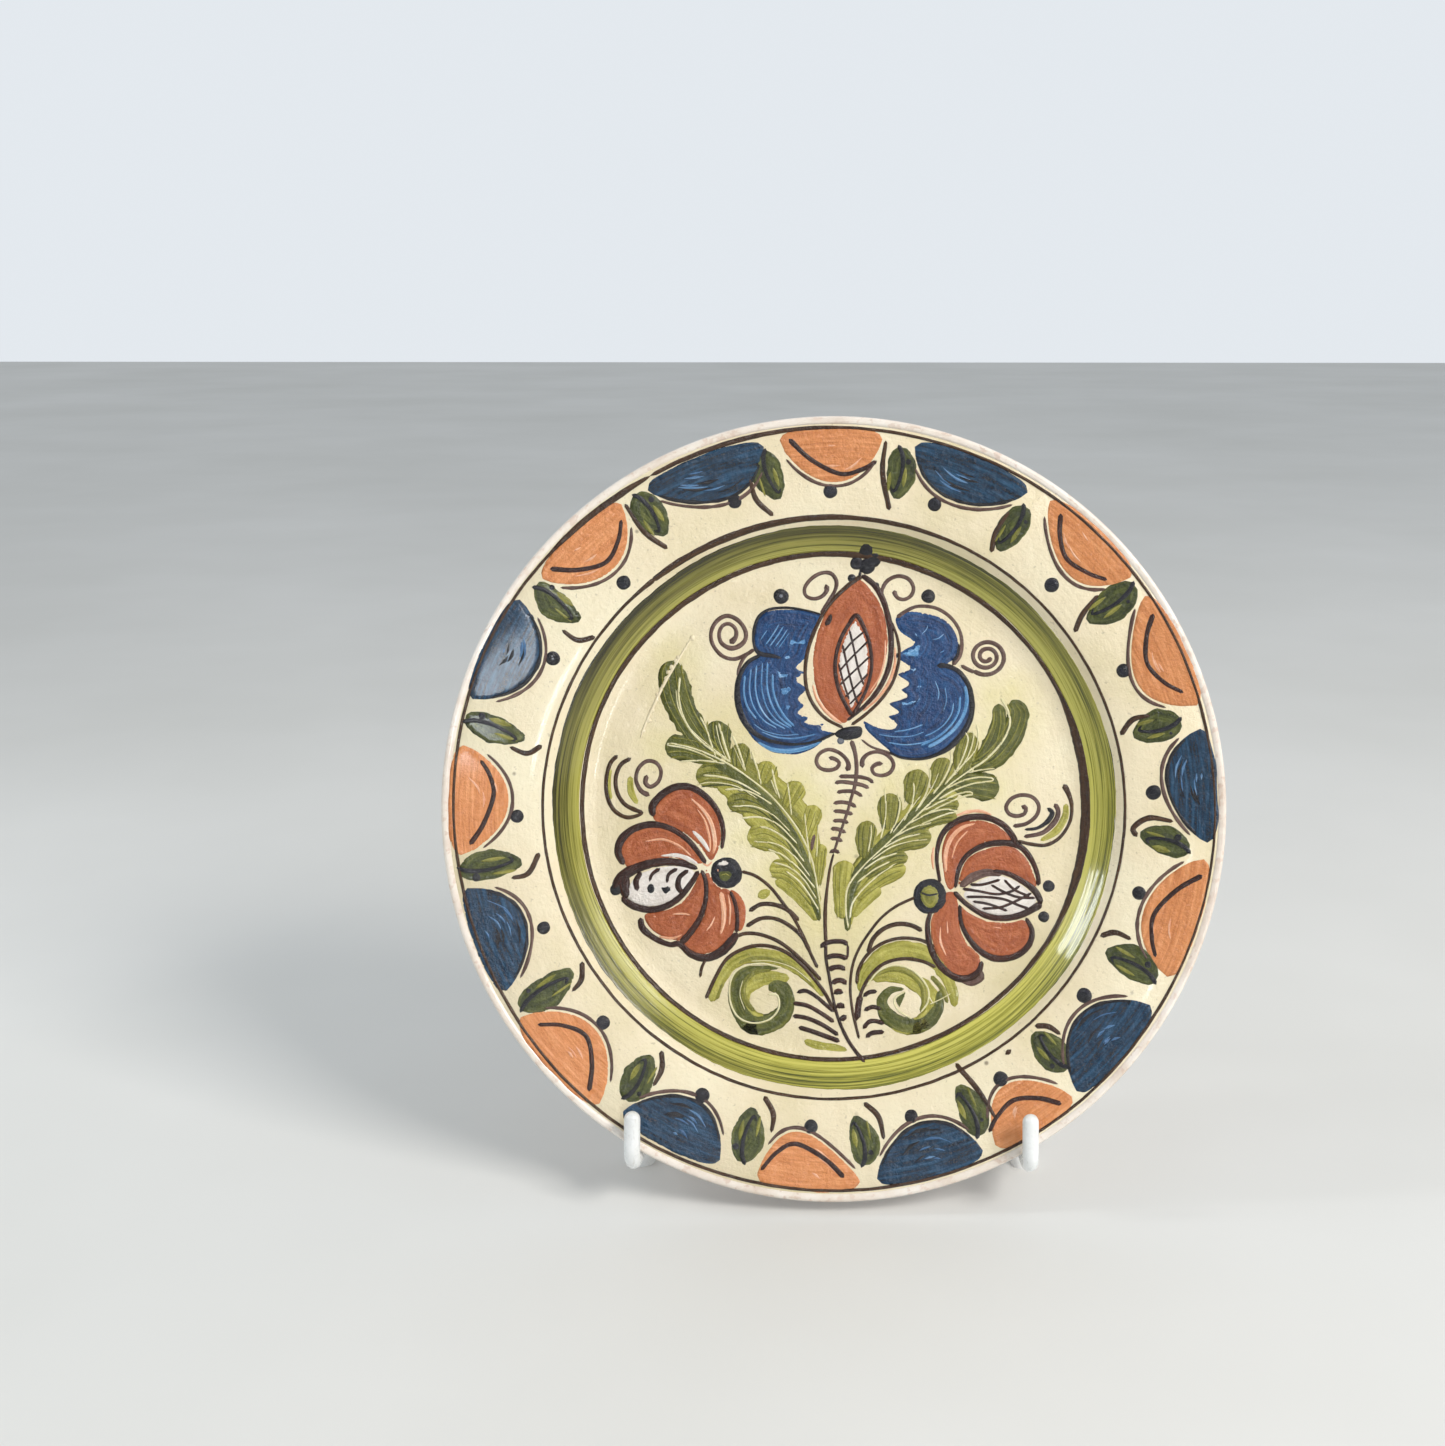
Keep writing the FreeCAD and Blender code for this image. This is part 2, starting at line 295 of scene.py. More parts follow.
# zinc-plated steel
n = Nodes("plated_steel", 0.35)
n.shader.inputs["Metallic"].default_value = 1.0
spot = n.spot()
colour = n.ramp(n.noise(spot, 300.0, 4.0), [(0.3, srgb(150, 150, 146)), (0.7, srgb(196, 196, 192))])
colour = n.mix(n.range(n.noise(spot, 160.0, 3.0), 0.6, 0.72, 0.0, 0.5), colour, srgb(128, 112, 92))
rough = n.range(n.noise(n.scaled(spot, (0.15, 1.0, 1.0)), 2500.0, 2.0), 0.3, 0.7, 0.28, 0.5)
STEEL = n.finish(colour, n.bump(n.noise(n.scaled(spot, (0.1, 1.0, 1.0)), 3000.0, 2.0), 0.2, 0.0001), rough)

BROWN = paint("brown_slip", (36, 18, 6), (56, 32, 12), (82, 54, 28))
PLUM = paint("thin_brown_slip", (58, 36, 30), (84, 60, 52), (118, 92, 82))
MAROON = paint("maroon_slip", (28, 8, 4), (46, 17, 8), (72, 32, 18), speckle=0.1)
BLACK = paint("blue_black_slip", (5, 6, 10), (12, 12, 20), (34, 34, 48), speckle=0.1)
ORANGE = paint("red_ochre_slip", (140, 66, 32), (164, 84, 44), (188, 110, 66), streak=0.9)
RIM_ORANGE = paint("rim_orange_slip", (186, 112, 62), (209, 134, 80), (228, 160, 106), streak=1.4)
BLUE = paint("cobalt_slip", (2, 28, 64), (4, 52, 102), (30, 94, 150),
             streak=1.7, speckle=0.18, low=0.36, high=0.8)
RIM_BLUE = paint("rim_blue_slip", (2, 18, 34), (8, 42, 68), (44, 94, 130),
                 streak=1.2, speckle=0.22, low=0.4, high=0.84)
PALE_BLUE = paint("pale_blue_slip", (44, 104, 156), (84, 142, 190), (146, 186, 218), streak=2.4)
DARK_GREEN = paint("dark_green_slip", (46, 50, 14), (76, 82, 26), (114, 114, 48), streak=1.2, speckle=0.3)
OLIVE = paint("olive_slip", (80, 82, 20), (122, 120, 42), (162, 156, 74), streak=1.2, speckle=0.3)
YELLOW_GREEN = paint("yellow_green_slip", (120, 120, 34), (160, 154, 62), (194, 186, 98), streak=1.2)
LEAF = paint("rim_leaf_slip", (26, 32, 8), (54, 62, 18), (100, 104, 44), streak=1.0, speckle=0.3)
SCRATCH = paint("combed_line", (196, 186, 130), (222, 214, 168), (238, 232, 200), streak=2.0)
PEACH = paint("thin_orange_slip", (206, 134, 96), (226, 166, 128), (242, 204, 176), streak=2.4)
WHITE = paint("white_reserve", (206, 196, 186), (224, 216, 208), (236, 230, 222), streak=1.0)
RIM_STREAK = paint("rim_blue_streak", (30, 70, 114), (62, 108, 152), (112, 150, 186), streak=2.4)
GREY = paint("grey_glaze_pool", (58, 62, 72), (92, 96, 106), (136, 138, 144))

# the brushed green band: concentric streaks, darker outside and yellow-green inside, with painted shade
# towards the upper left and the outer edge
n = Nodes("green_band_slip", 0.15, coat=0.5)
flow = n.attribute("flow")
spot = n.spot()
streaks = n.noise(n.scaled(flow, (0.07, 2.5, 0.07)), 1.0, 6.0, 0.68)
across = n.add("ShaderNodeAttribute", attribute_name="across").outputs["Fac"]
tone = n.maths("ADD", n.maths("MULTIPLY", streaks, 0.9), n.range(across, 0.0, 1.0, 0.2, 0.03))
colour = n.ramp(tone, [
    (0.37, srgb(44, 46, 10)), (0.45, srgb(100, 104, 34)),
    (0.53, srgb(164, 160, 56)), (0.62, srgb(208, 202, 98)),
])
# painted shade: a per-vertex share of dark olive mixed in here, set where the band is built
shade = n.add("ShaderNodeAttribute", attribute_name="shade").outputs["Fac"]
colour = n.mix(shade, colour, srgb(34, 30, 6))
normal = n.bump(streaks, 0.45, 0.0003, n.bump(n.noise(spot, 420.0, 2.0), 0.12, 0.0002))
GREEN_BAND = n.finish(colour, normal)


# ---------------------------------------------------------------- mesh builders
def turned(name, outline, material, replaces, count=320, wobble=0.0, closed=True, ripple=0.0):
    """A surface of revolution through (r, w) points, with a hand-thrown wobble and fine turning rings."""
    verts, faces, flow = [], [], []
    rows = []
    for j, (r, w) in enumerate(outline):
        if r < 1e-6:
            rows.append([len(verts)])
            verts.append(place(0, 0, w))
            flow.append((0.0, 0.0, 0.0))
            continue
        row = []
        for i in range(count):
            a = 2 * math.pi * i / count
            x, v = math.sin(a), math.cos(a)
            lump = noise.noise(Vector((x * 1.4, v * 1.4, w * 0.05)))
            ring = noise.noise(Vector((x * 0.5, v * 0.5, r * 0.9 + w * 1.3)))
            rr = r * (1 + wobble * lump / 100)
            row.append(len(verts))
            verts.append(place(rr * x, rr * v, w + ripple * ring * min(1.0, r / 8)))
            flow.append((rr * x, r + abs(w), rr * v))
        rows.append(row)
    pairs = list(zip(rows, rows[1:]))
    if closed:
        pairs.append((rows[-1], rows[0]))
    for a, b in pairs:
        if len(a) == 1 and len(b) == 1:
            continue
        for i in range(count):
            k = (i + 1) % count
            if len(a) == 1:
                faces.append((a[0], b[i], b[k]))
            elif len(b) == 1:
                faces.append((a[i], b[0], a[k]))
            else:
                faces.append((a[i], b[i], b[k], a[k]))
    mesh = bpy.data.meshes.new(name)
    mesh.from_pydata(verts, [], faces)
    tidy(mesh)
    set_flow(mesh, flow)
    return link(name, mesh, material, "plate", replaces)


def tidy(mesh):
    """Turn every face outwards."""
    bm = bmesh.new()
    bm.from_mesh(mesh)
    bmesh.ops.recalc_face_normals(bm, faces=bm.faces)
    bm.to_mesh(mesh)
    bm.free()


def set_flow(mesh, flow):
    """The coordinates that a material draws its streaks in; the streaks are fine across the second one."""
    attribute = mesh.attributes.new("flow", "FLOAT_VECTOR", "POINT")
    attribute.data.foreach_set("vector", np.array(flow, dtype=np.float32).ravel())


def set_value(mesh, name, values):
    """One number for each vertex, for a material to read by name."""
    attribute = mesh.attributes.new(name, "FLOAT", "POINT")
    attribute.data.foreach_set("value", np.array(values, dtype=np.float32))


def points_of(text):
    """'x,v x,v ...' to a list of pairs."""
    return [tuple(float(c) for c in pair.split(",")) for pair in text.split()]


def smooth_path(points, step, closed=False):
    """A Catmull-Rom curve through the points, at about even steps; the third value is how far along them."""
    count = len(points)
    path = []
    spans = count if closed else count - 1
    for i in range(spans):
        if closed:
            p0, p1, p2, p3 = (points[(i + k) % count] for k in (-1, 0, 1, 2))
        else:
            p1, p2 = points[i], points[i + 1]
            p0 = points[i - 1] if i else (2 * p1[0] - p2[0], 2 * p1[1] - p2[1])
            p3 = points[i + 2] if i + 2 < count else (2 * p2[0] - p1[0], 2 * p2[1] - p1[1])
        cuts = max(2, int(math.dist(p1, p2) / step))
        for k in range(cuts):
            t = k / cuts
            at = [
                0.5 * (2 * b + (c - a) * t + (2 * a - 5 * b + 4 * c - d) * t * t
                       + (3 * b - a - 3 * c + d) * t ** 3)
                for a, b, c, d in zip(p0, p1, p2, p3)
            ]
            path.append((at[0], at[1], i + t))
    if not closed:
        path.append((points[-1][0], points[-1][1], float(count - 1)))
    return path


class Layer:
    """One colour of paint: thin raised strokes and patches that follow the face, joined in one mesh."""

    def __init__(self, name, material, lift, seed, full=1.0, slot="slip"):
        self.name, self.material, self.lift, self.full, self.slot = name, material, lift, full, slot
        self.verts, self.faces, self.flow = [], [], []
        self.random = random.Random(seed)

    def put(self, x, v, height):
        """A vertex at a height over the plate's face."""
        self.verts.append(place(x, v, face_w(math.hypot(x, v)) + height))

    def stroke(self, points, width, lift=None, raw=False):
        """A brush or trailer line; width is one number or one for each point."""
        if isinstance(points, str):
            points = points_of(points)
        lift = self.lift if lift is None else lift
        widths = width if isinstance(width, (list, tuple)) else [width] * len(points)
        path = points if raw else smooth_path(points, BRUSH_STEP)
        lengths = [0.0]
        for a, b in zip(path, path[1:]):
            lengths.append(lengths[-1] + math.dist(a[:2], b[:2]))
        total = lengths[-1]
        phase = self.random.uniform(0, 90)
        rows = []
        for i, (x, v, place_at) in enumerate(path):
            a, b = path[max(i - 1, 0)], path[min(i + 1, len(path) - 1)]
            tx, tv = b[0] - a[0], b[1] - a[1]
            size = math.hypot(tx, tv) or 1.0
            nx, nv = -tv / size, tx / size
            j = min(int(place_at), len(widths) - 2) if len(widths) > 1 else 0
            f = place_at - j
            half = self.full * (widths[j] * (1 - f) + widths[min(j + 1, len(widths) - 1)] * f) / 2
            half *= 1 + 0.10 * noise.noise(Vector((lengths[i] * 0.8, phase, 0)))
            for end in (lengths[i], total - lengths[i]):
                if end < half:
                    half *= math.sqrt(max(0.02, 1 - (1 - end / half) ** 2))
            row = []
            for u, h in ((-1.0, -0.25), (-0.72, 0.62), (0.0, 1.0), (0.72, 0.62), (1.0, -0.25)):
                row.append(len(self.verts))
                self.put(x + nx * half * u, v + nv * half * u, lift * h)
                self.flow.append((lengths[i], half * u, phase))
            rows.append(row)
        for a, b in zip(rows, rows[1:]):
            for k in range(5):
                m = (k + 1) % 5
                self.faces.append((a[k], b[k], b[m], a[m]))
        self.faces.append(tuple(rows[0]))
        self.faces.append(tuple(reversed(rows[-1])))

    def patch(self, outline, lift=None, grid=1.1, raw=False, rim=False):
        """A filled shape with a rounded edge; rim makes its streaks follow the rim, not its own edge."""
        if isinstance(outline, str):
            outline = points_of(outline)
        lift = self.lift if lift is None else lift
        edge = [p[:2] for p in (outline if raw else smooth_path(outline, 0.6, closed=True))]
        xs, vs = [p[0] for p in edge], [p[1] for p in edge]
        ring = np.array(edge)
        after = np.roll(ring, -1, axis=0)
        steps = np.hypot(*(after - ring).T)
        along = np.concatenate([[0.0], np.cumsum(steps)[:-1]])
        inner = []
        rows = int((max(vs) - min(vs)) / (grid * 0.87)) + 2
        for j in range(rows):
            v = min(vs) + j * grid * 0.87
            x = min(xs) + (grid / 2 if j % 2 else 0.0)
            while x < max(xs):
                inner.append((x, v))
                x += grid
        inner = np.array(inner)
        ax, av, bx, bv = ring[:, 0], ring[:, 1], after[:, 0], after[:, 1]
        px, pv = inner[:, :1], inner[:, 1:]
        hit = ((av > pv) != (bv > pv)) & (px < (bx - ax) * (pv - av) / np.where(bv == av, 1e-9, bv - av) + ax)
        gap = np.hypot(px - ax, pv - av)
        keep = (hit.sum(axis=1) % 2 == 1) & (gap.min(axis=1) > grid * 0.45)
        inner, gap = inner[keep], gap[keep]
        collar = self.collar(ring, after)
        all_points = [Vector(p) for p in edge] + [Vector(p) for p in collar] + [Vector(p) for p in inner]
        everything = np.array([tuple(p) for p in all_points])
        reach = np.hypot(everything[:, :1] - ring[:, 0], everything[:, 1:] - ring[:, 1])
        nearest, depth = reach.argmin(axis=1), reach.min(axis=1)
        depth[:len(edge)] = 0.0
        result = geometry.delaunay_2d_cdt(all_points, [], [list(range(len(edge)))], 1, 1e-5)
        spots, triangles, origins = result[0], result[2], result[3]
        phase = self.random.uniform(0, 90)
        base = len(self.verts)
        count = len(spots)
        for side in (1, 0):
            for spot_at, origin in zip(spots, origins):
                k = origin[0] if origin else 0
                d = float(depth[k])
                rise = lift * (1 - math.exp(-d / 0.35)) if side else 0.0
                self.put(spot_at.x, spot_at.y, rise - (0.03 if side else 0.10))
                if rim:
                    turn = math.atan2(spot_at.x, spot_at.y)
                    self.flow.append((95 * turn, math.hypot(spot_at.x, spot_at.y), phase))
                else:
                    self.flow.append((float(along[nearest[k]]), d, phase))
        for triangle in triangles:
            self.faces.append(tuple(base + i for i in triangle))
            self.faces.append(tuple(base + count + i for i in reversed(triangle)))
        used = {}
        for triangle in triangles:
            for a, b in zip(triangle, triangle[1:] + triangle[:1]):
                used[(a, b)] = True
        for a, b in used:
            if (b, a) not in used:
                self.faces.append((base + b, base + a, base + count + a, base + count + b))

    def collar(self, ring, after):
        """Points just inside the outline, so that the edge is steep and the middle level."""
        before = np.roll(ring, 1, axis=0)
        tangent = after - before
        size = np.maximum(np.hypot(tangent[:, 0], tangent[:, 1]), 1e-9)
        area = np.sum(ring[:, 0] * after[:, 1] - after[:, 0] * ring[:, 1])
        sign = 1.0 if area > 0 else -1.0
        normal = np.stack([-tangent[:, 1] / size, tangent[:, 0] / size], axis=1) * sign
        moved = ring + normal * 0.38
        gap = np.hypot(moved[:, :1] - ring[:, 0], moved[:, 1:] - ring[:, 1]).min(axis=1)
        return moved[gap > 0.33][::2]

    def dot(self, x, v, radius, lift=None, squash=1.0):
        """A round blob with a slightly uneven edge."""
        spots = []
        bend = self.random.uniform(0, 9)
        for i in range(20):
            a = 2 * math.pi * i / 20
            r = radius * (1 + 0.07 * noise.noise(Vector((math.cos(a), math.sin(a), bend))))
            spots.append((x + r * math.cos(a), v + r * squash * math.sin(a)))
        self.patch(spots, lift, grid=0.7, raw=True)

    def marks(self, text, lift=None, grid=1.1):
        """Marks split by ';': 'path | widths' is a stroke, 'path' a filled outline, 'x,v,radius' a dot.

        A width of '0.9*6' stands for six points of 0.9 mm.
        """
        for mark in text.split(";"):
            path, _, widths = mark.partition("|")
            points = points_of(path)
            if widths:
                values = []
                for word in widths.split():
                    value, _, times = word.partition("*")
                    values += [float(value)] * int(times or 1)
                self.stroke(points, values if len(values) > 1 else values[0], lift=lift)
            elif len(points) == 1:
                x, v, radius, squash = (*points[0], 1.0)[:4]
                self.dot(x, v, radius, lift, squash)
            else:
                self.patch(points, lift, grid)

    def build(self, replaces=()):
        """The layer as one piece on the plate."""
        mesh = bpy.data.meshes.new(self.name)
        mesh.from_pydata(self.verts, [], self.faces)
        mesh.validate()
        set_flow(mesh, self.flow)
        tidy(mesh)
        piece = link(self.name, mesh, self.material, "plate", replaces)
        return piece


# ---------------------------------------------------------------- the plate's body and slip
lip = [(103.9, 0.0), (104.45, -0.3), (104.82, -0.95), (105.0, -2.1), (104.7, -3.6), (103.9, -4.8)]
back = [(p.x, p.y) for p in rounded(BACK)]
foot = [
    (50.9, -24.6), (50.7, -26.2), (50.1, -26.85), (49.4, -27.0), (47.0, -27.0), (46.2, -26.7),
    (45.7, -26.0), (45.3, -24.2), (44.6, -23.2), (43.4, CAST_BACK),
]


def dense(points, step):
    """The same outline with no gap longer than step."""
    result = [points[0]]
    for a, b in zip(points, points[1:]):
        cuts = max(1, int(math.dist(a, b) / step))
        for k in range(1, cuts + 1):
            result.append((a[0] + (b[0] - a[0]) * k / cuts, a[1] + (b[1] - a[1]) * k / cuts))
    return result


SLIP_BED = 0.45
step_r = SLIP_EDGE + 0.1
under = [(p.x, p.y - SLIP_BED) for p in FACE_POINTS if p.x <= step_r]
outline = [(0.0, under[0][1])] + under[1:]
outline += [(step_r, face_w(step_r) - SLIP_BED), (step_r, face_w(step_r) - 0.02), (103.2, -0.55)]
outline += lip + dense(back, 3.0) + foot
outline += dense([(43.4, CAST_BACK), (4.0, CAST_BACK)], 3.0) + [(0.0, CAST_BACK)]
body = turned("plate_body", outline, CLAY, ("clay_body",), count=360, wobble=0.10, closed=False, ripple=0.10)
LIP_FROM, LIP_DEPTH = 102.0, -4.0
lip_share = []
for vertex in body.data.vertices:
    x, y, z = vertex.co / MM
    y, z = y - AXIS_Y, z - AXIS_Z
    r = math.hypot(x, y * math.sin(LEAN) + z * math.cos(LEAN))
    w = z * math.sin(LEAN) - y * math.cos(LEAN)
    lip_share.append(1.0 if r > LIP_FROM and w > LIP_DEPTH else 0.0)
set_value(body.data, "lip", lip_share)

slip_outline = dense([(p.x, p.y) for p in FACE_POINTS if p.x <= SLIP_EDGE], 1.6)
slip_outline = [(0.0, FACE_POINTS[0].y)] + slip_outline[1:]
slip_outline += [(SLIP_EDGE, face_w(SLIP_EDGE)), (SLIP_EDGE + 0.35, face_w(SLIP_EDGE + 0.35) - 0.3)]
slip = turned("glazed_slip", slip_outline, CREAM_SLIP, ("cream_slip",), count=360, closed=False, ripple=0.06)

# ---------------------------------------------------------------- layers of paint
brown = Layer("brown_lines", BROWN, 0.24, 1, 1.15, slot="brown_glaze")
plum = Layer("thin_brown_lines", PLUM, 0.2, 2, 1.2, slot="brown_glaze")
maroon = Layer("maroon_outlines", MAROON, 0.3, 3, 1.12, slot="brown_glaze")
black = Layer("black_outlines", BLACK, 0.3, 4, slot="brown_glaze")
orange = Layer("flower_orange", ORANGE, 0.14, 5)
blue = Layer("tulip_blue", BLUE, 0.14, 6)
pale = Layer("tulip_pale_streaks", PALE_BLUE, 0.2, 7)
dark_green = Layer("dark_green_leaves", DARK_GREEN, 0.12, 8, slot="green_glaze")
olive = Layer("olive_leaves", OLIVE, 0.12, 9, slot="green_glaze")
yellow = Layer("yellow_green_leaves", YELLOW_GREEN, 0.09, 10, slot="green_glaze")
scratch = Layer("combed_lines", SCRATCH, 0.19, 11)
peach = Layer("orange_highlights", PEACH, 0.19, 12)
white = Layer("white_reserves", WHITE, 0.19, 13)
grey = Layer("grey_pools", GREY, 0.34, 14)
rim_orange = Layer("rim_orange_fruits", RIM_ORANGE, 0.14, 15)
rim_blue = Layer("rim_blue_fruits", RIM_BLUE, 0.14, 16)
rim_leaf = Layer("rim_leaves", LEAF, 0.13, 17, slot="green_glaze")
rim_pale = Layer("rim_blue_streaks", RIM_STREAK, 0.19, 18)

# --- the tulip: its pod with a lattice window, and the bud on top ---
orange.marks("""
    7,62.5 10,60 12.5,56.5 14,52 14.8,47 14.6,42 13.4,37 11,32 8,28.3 5,25 3,22.8 0.5,24 -2,26.5 -4.3,30
      -5.6,35 -6,40 -5.4,45 -4,50 -1.5,55 2,59.5 5,62
""")
brown.marks("""
    7.6,63.6 4,61 0,57.3 -3,53.3 -5.6,48 -7.4,42.5 -8,36.5 -7.3,31.5 -5.2,27.3 -2,24 2.6,21.6 | 1.3 1.3
      1.2 1 1.1 1.1 1*3 0.9 0.8;
    15.8,51 17.4,46.5 18,42 17.4,38 15.8,33.5 12.6,29 8.6,25.2 4.8,22.4 | 0.6 0.8 0.9*6
""")
maroon.marks("""
    7.6,63.8 11,61 13.4,57 15,51.5 15.7,46 15.4,40 13.8,35 11,30.5 7.5,26.8 3.6,23.6 | 1.4 1.6 1.7 1.6 1.6
      1.5 1.4 1.3 1 0.8;
    5.2,25 7.2,28.6 9.2,33 10.3,38 10.1,43 8.9,47.6 6.2,52.6 3.9,50 1.9,46.4 0.6,42 0.3,37.4 1.2,32.6
      3,28.4 5,25 | 1.4 1 1 1.1 1.2 1.2 1.5 1.2*3 1.3*3 1.4
""")
maroon.marks("""
    4.2,48.6 5.4,43.6 6.6,38.2 8.2,33.4 | 0.75; 2.3,44.6 3.6,38.8 5.2,32.4 6.6,28.2 | 0.75;
    1.2,39.4 2.6,34.2 4.2,29.4 | 0.7; 2.3,42.2 5,45.4 8.3,48.2 | 0.7; 1.4,37.2 4.6,40.8 9.6,45.8 | 0.7;
    1.6,33.4 4.4,36.2 9.9,41.4 | 0.7; 3,30 5.4,32.4 9.4,36.6 | 0.7; 4.2,28 7.8,31.6 | 0.65
""", lift=0.27)
peach.marks("""
    16.8,44 16.7,39 15,34 11.8,29.6 8,26.2 | 0.5 0.9 1 0.9 0.5;
    14.1,46 13.9,40.5 12.4,35.5 9.8,31.4 | 0.4 0.6 0.6 0.4;
    -5.9,33.5 -4.9,30 -2.8,26.8 0,24.2 2.2,22.8 | 0.5 0.9 1.1 1.2 0.7
""")
white.marks("""
    6,51.6 8,48.6 9.4,44.5 9.9,40 9.2,35.2 7.5,30.8 5.4,27 4.4,26.6 3.2,29.6 1.7,33 0.9,37 1.1,41.6
      2.5,46.4 4.4,50.3
""")
black.marks("""
    8.7,70.2,2.1; 10.9,67.9,2; 6.2,67,1.9; 9,66.2,2.2; 11.6,61,0.8; 4.8,62.9,1.2;
    7.4,66.5 7.2,64.8 6.8,63.2 | 1.2 0.7 1.2
""")

# the left petal, its outline and its pale streaks
blue.marks("""
    -22.3,47 -21.8,50.5 -20.3,52.8 -16.5,54.2 -10,54.2 -5.5,53.4 -3.2,52.6 -4.3,49.5 -6.3,46 -7.4,43
      -8.2,40.4 -10.3,38.2 -8,36.9 -10.2,34.6 -7.5,32.4 -9.8,29.6 -8.2,27.7 -9.9,25.6 -6.6,24.4 -7.9,23.2
      -4.9,22.4 -2.3,23.2 -3.4,21.2 0.8,20 -3,17.8 -6,15.6 -11,14.1 -17,14.8 -22,18 -25,22.5 -26.8,28
      -26.6,34.5 -24,39.3 -21,41.3 -22,43.5
""")
black.marks("""
    -3.6,52.9 -8,54 -13,54.7 -18,54.2 -21,52 -22.2,48 -22,44 -20.4,42 -17,41.4 -14.6,40.8 | 0.6 0.7 0.8
      0.9 1 1 0.9 1.6 1.5 0.8;
    -20.4,41.6 -24,39.4 -26.2,35.4 -26.7,31 -26,26.4 -23.8,22 -20,18.9 -14.5,17.3 -9,17.1 -4,18.2 0.4,20.2
      | 1.2 1.3 1.6 2 2.2 2 1.5 1.1 0.9 0.9 0.8
""")
pale.marks("-21,17.6 -17,15.6 -12,15.2 -7,16.2 -3.6,17.7 | 0.6 1.4 1.6 1.3 0.5")
pale.marks("""
    -19,44.4 -17,47.2 -15.2,50.2 | 0.45; -17.8,44 -15.8,46.8 -14,49.6 | 0.5;
    -16.4,43.8 -14.6,46.2 -12.9,48.8 | 0.45; -15.4,43.5 -13.9,45.6 -12.4,47.8 | 0.35;
    -20.4,45.6 -19.6,47 -18.4,48.6 | 0.35; -24.6,36 -24.9,31.5 -23.9,27.4 -21.4,23.9 | 0.7;
    -22.9,37.8 -23.3,32 -22.2,27.4 -19.4,23.6 -15.8,21.4 | 0.5;
    -21.4,38.8 -21.7,32.4 -20.4,27.4 -17.6,23.6 -13.4,21.2 | 0.6;
    -19.8,39.4 -20,33 -18.7,27.6 -16,23.8 -12.2,21.4 | 0.55;
    -18.4,39.6 -18.5,33 -17.2,28 -14.8,24.2 -11.6,21.8 | 0.7;
    -17,36.4 -16.8,32 -15.5,27.8 -13.2,24.2 -10.9,22 | 0.8; -20,20.4 -15.6,18.9 -10.4,18.7 -5,19.8 | 0.5;
    -22.2,22.6 -19,20.6 -14.2,19.5 -9.6,19.8 | 0.35
""", lift=0.19)
pale.marks("""
    -12.2,46.2 -10,45.9 -8.1,46.4 -7.5,45.2 -8.4,44.2 -10.6,44.4 -12.8,43.6;
    -13.8,41.5 -12.2,41.8 -11.6,40.9 -13,40.1 -14,40.4;
    -15.8,38.4 -14.4,36.8 -11.8,36.8 -13.4,35.2 -15.6,35.2;
    -14.9,32.6 -13,33.1 -11.1,33 -12,31.3 -13.9,30.2 -14.8,31;
    -13.7,28.1 -12.4,28.2 -11.5,27.8 -12.4,26.2 -13.2,26.4;
    -12,24.5 -10.2,24.4 -8.6,24.8 -9.6,23.6 -10.8,23.4
""", grid=0.8)

# the right petal
blue.marks("""
    17,52 19,53.4 21.5,54 27,53.1 31,51.3 33.6,48 34.4,44.4 33.4,41 31.4,39.2 33.8,37.8 36.4,35.2 38,31.5
      38.3,27 37,23 34.5,19 31,16 27,13.9 22,13 17,14 14.5,16 11,19 8.6,21.5 8.2,23.6 11,22.3 13.4,21.5
      16,21.3 17.3,22.5 14.9,24.8 17.9,26 15.3,28.3 18.6,29.5 20.1,30.5 18.4,32.2 20.6,34 17.6,36.4
      20.8,38.2 17.2,41 17.8,42.4 21.7,44.6 21.3,45.9 18.3,48 17.2,50
""")
black.marks("""
    30.6,39.6 28.8,38.8 31.6,38.6 34.8,36.8 37.2,33 38,28.5 37.6,24.4 35.6,20.4 32.6,17 29.4,14.8
      24.6,13.2 19,13.4 15.2,15 | 0.8 1.4 1.6 1.5 1.7 1.8 1.8 2 1.9 1.3 0.9 0.8 0.6;
    34.4,45 34,42 32.6,39.8 | 0.6 1 0.9; 17.4,42.4 17.2,40.9 | 0.7
""")
plum.marks("""
    17.2,52 20,54 23.2,55.2 28,54.7 32,52.2 34.5,48.6 35.2,44.8 34.6,41.6 32.6,39 | 1.1 1 0.9*4 1 1 1.3
""")
pale.marks("""
    18.6,42.2 21,43.6 23.8,45.1 23.8,42.6 23,41 20.2,41.2; 20.8,38 22.4,38.6 23,37.6 21.8,36.8;
    22.1,33.2 24.6,34 24.2,32.6 22.4,32.4; 18.4,28.8 21.6,29.4 25.2,30.8 25,29.8 21.8,28 19,27.6;
    17.9,25.2 21,25.4 24.8,26.9 24.6,26 21.4,24.6 18.2,24.6; 20.8,23.3 21.8,23.3 21.5,22.6 20.8,22.6
""", grid=0.8)
pale.marks("""
    36.2,33.4 36.6,29 35.6,25 33.2,21.4 29.6,18.4 26,16.4 | 1.3;
    34.8,30.4 34.3,26 32,22.2 28.4,19 24,16.8 | 0.8; 33,28.6 32.4,25.6 30.4,22.6 27.4,20.4 25,19.4 | 0.5;
    27.9,34.6 28.9,31.6 28.6,29.2 | 0.4; 30.6,33 31,29.4 30.2,26.4 | 0.35;
    16.6,20.6 20.6,21.2 24.6,22.6 | 0.45; 15,17.6 19.6,17 24.6,17.6 28.4,19 | 0.5;
    12.4,19.8 16.8,19.2 21.4,19.4 25,20.6 | 0.35; 27,46 28.8,46.4 30.2,47.6 | 0.35;
    24,47.4 25.4,48.8 25.8,50 | 0.3; 29.2,42.4 30.4,43 | 0.5; 22.2,47.8 22.9,46.9 | 0.6
""", lift=0.19)

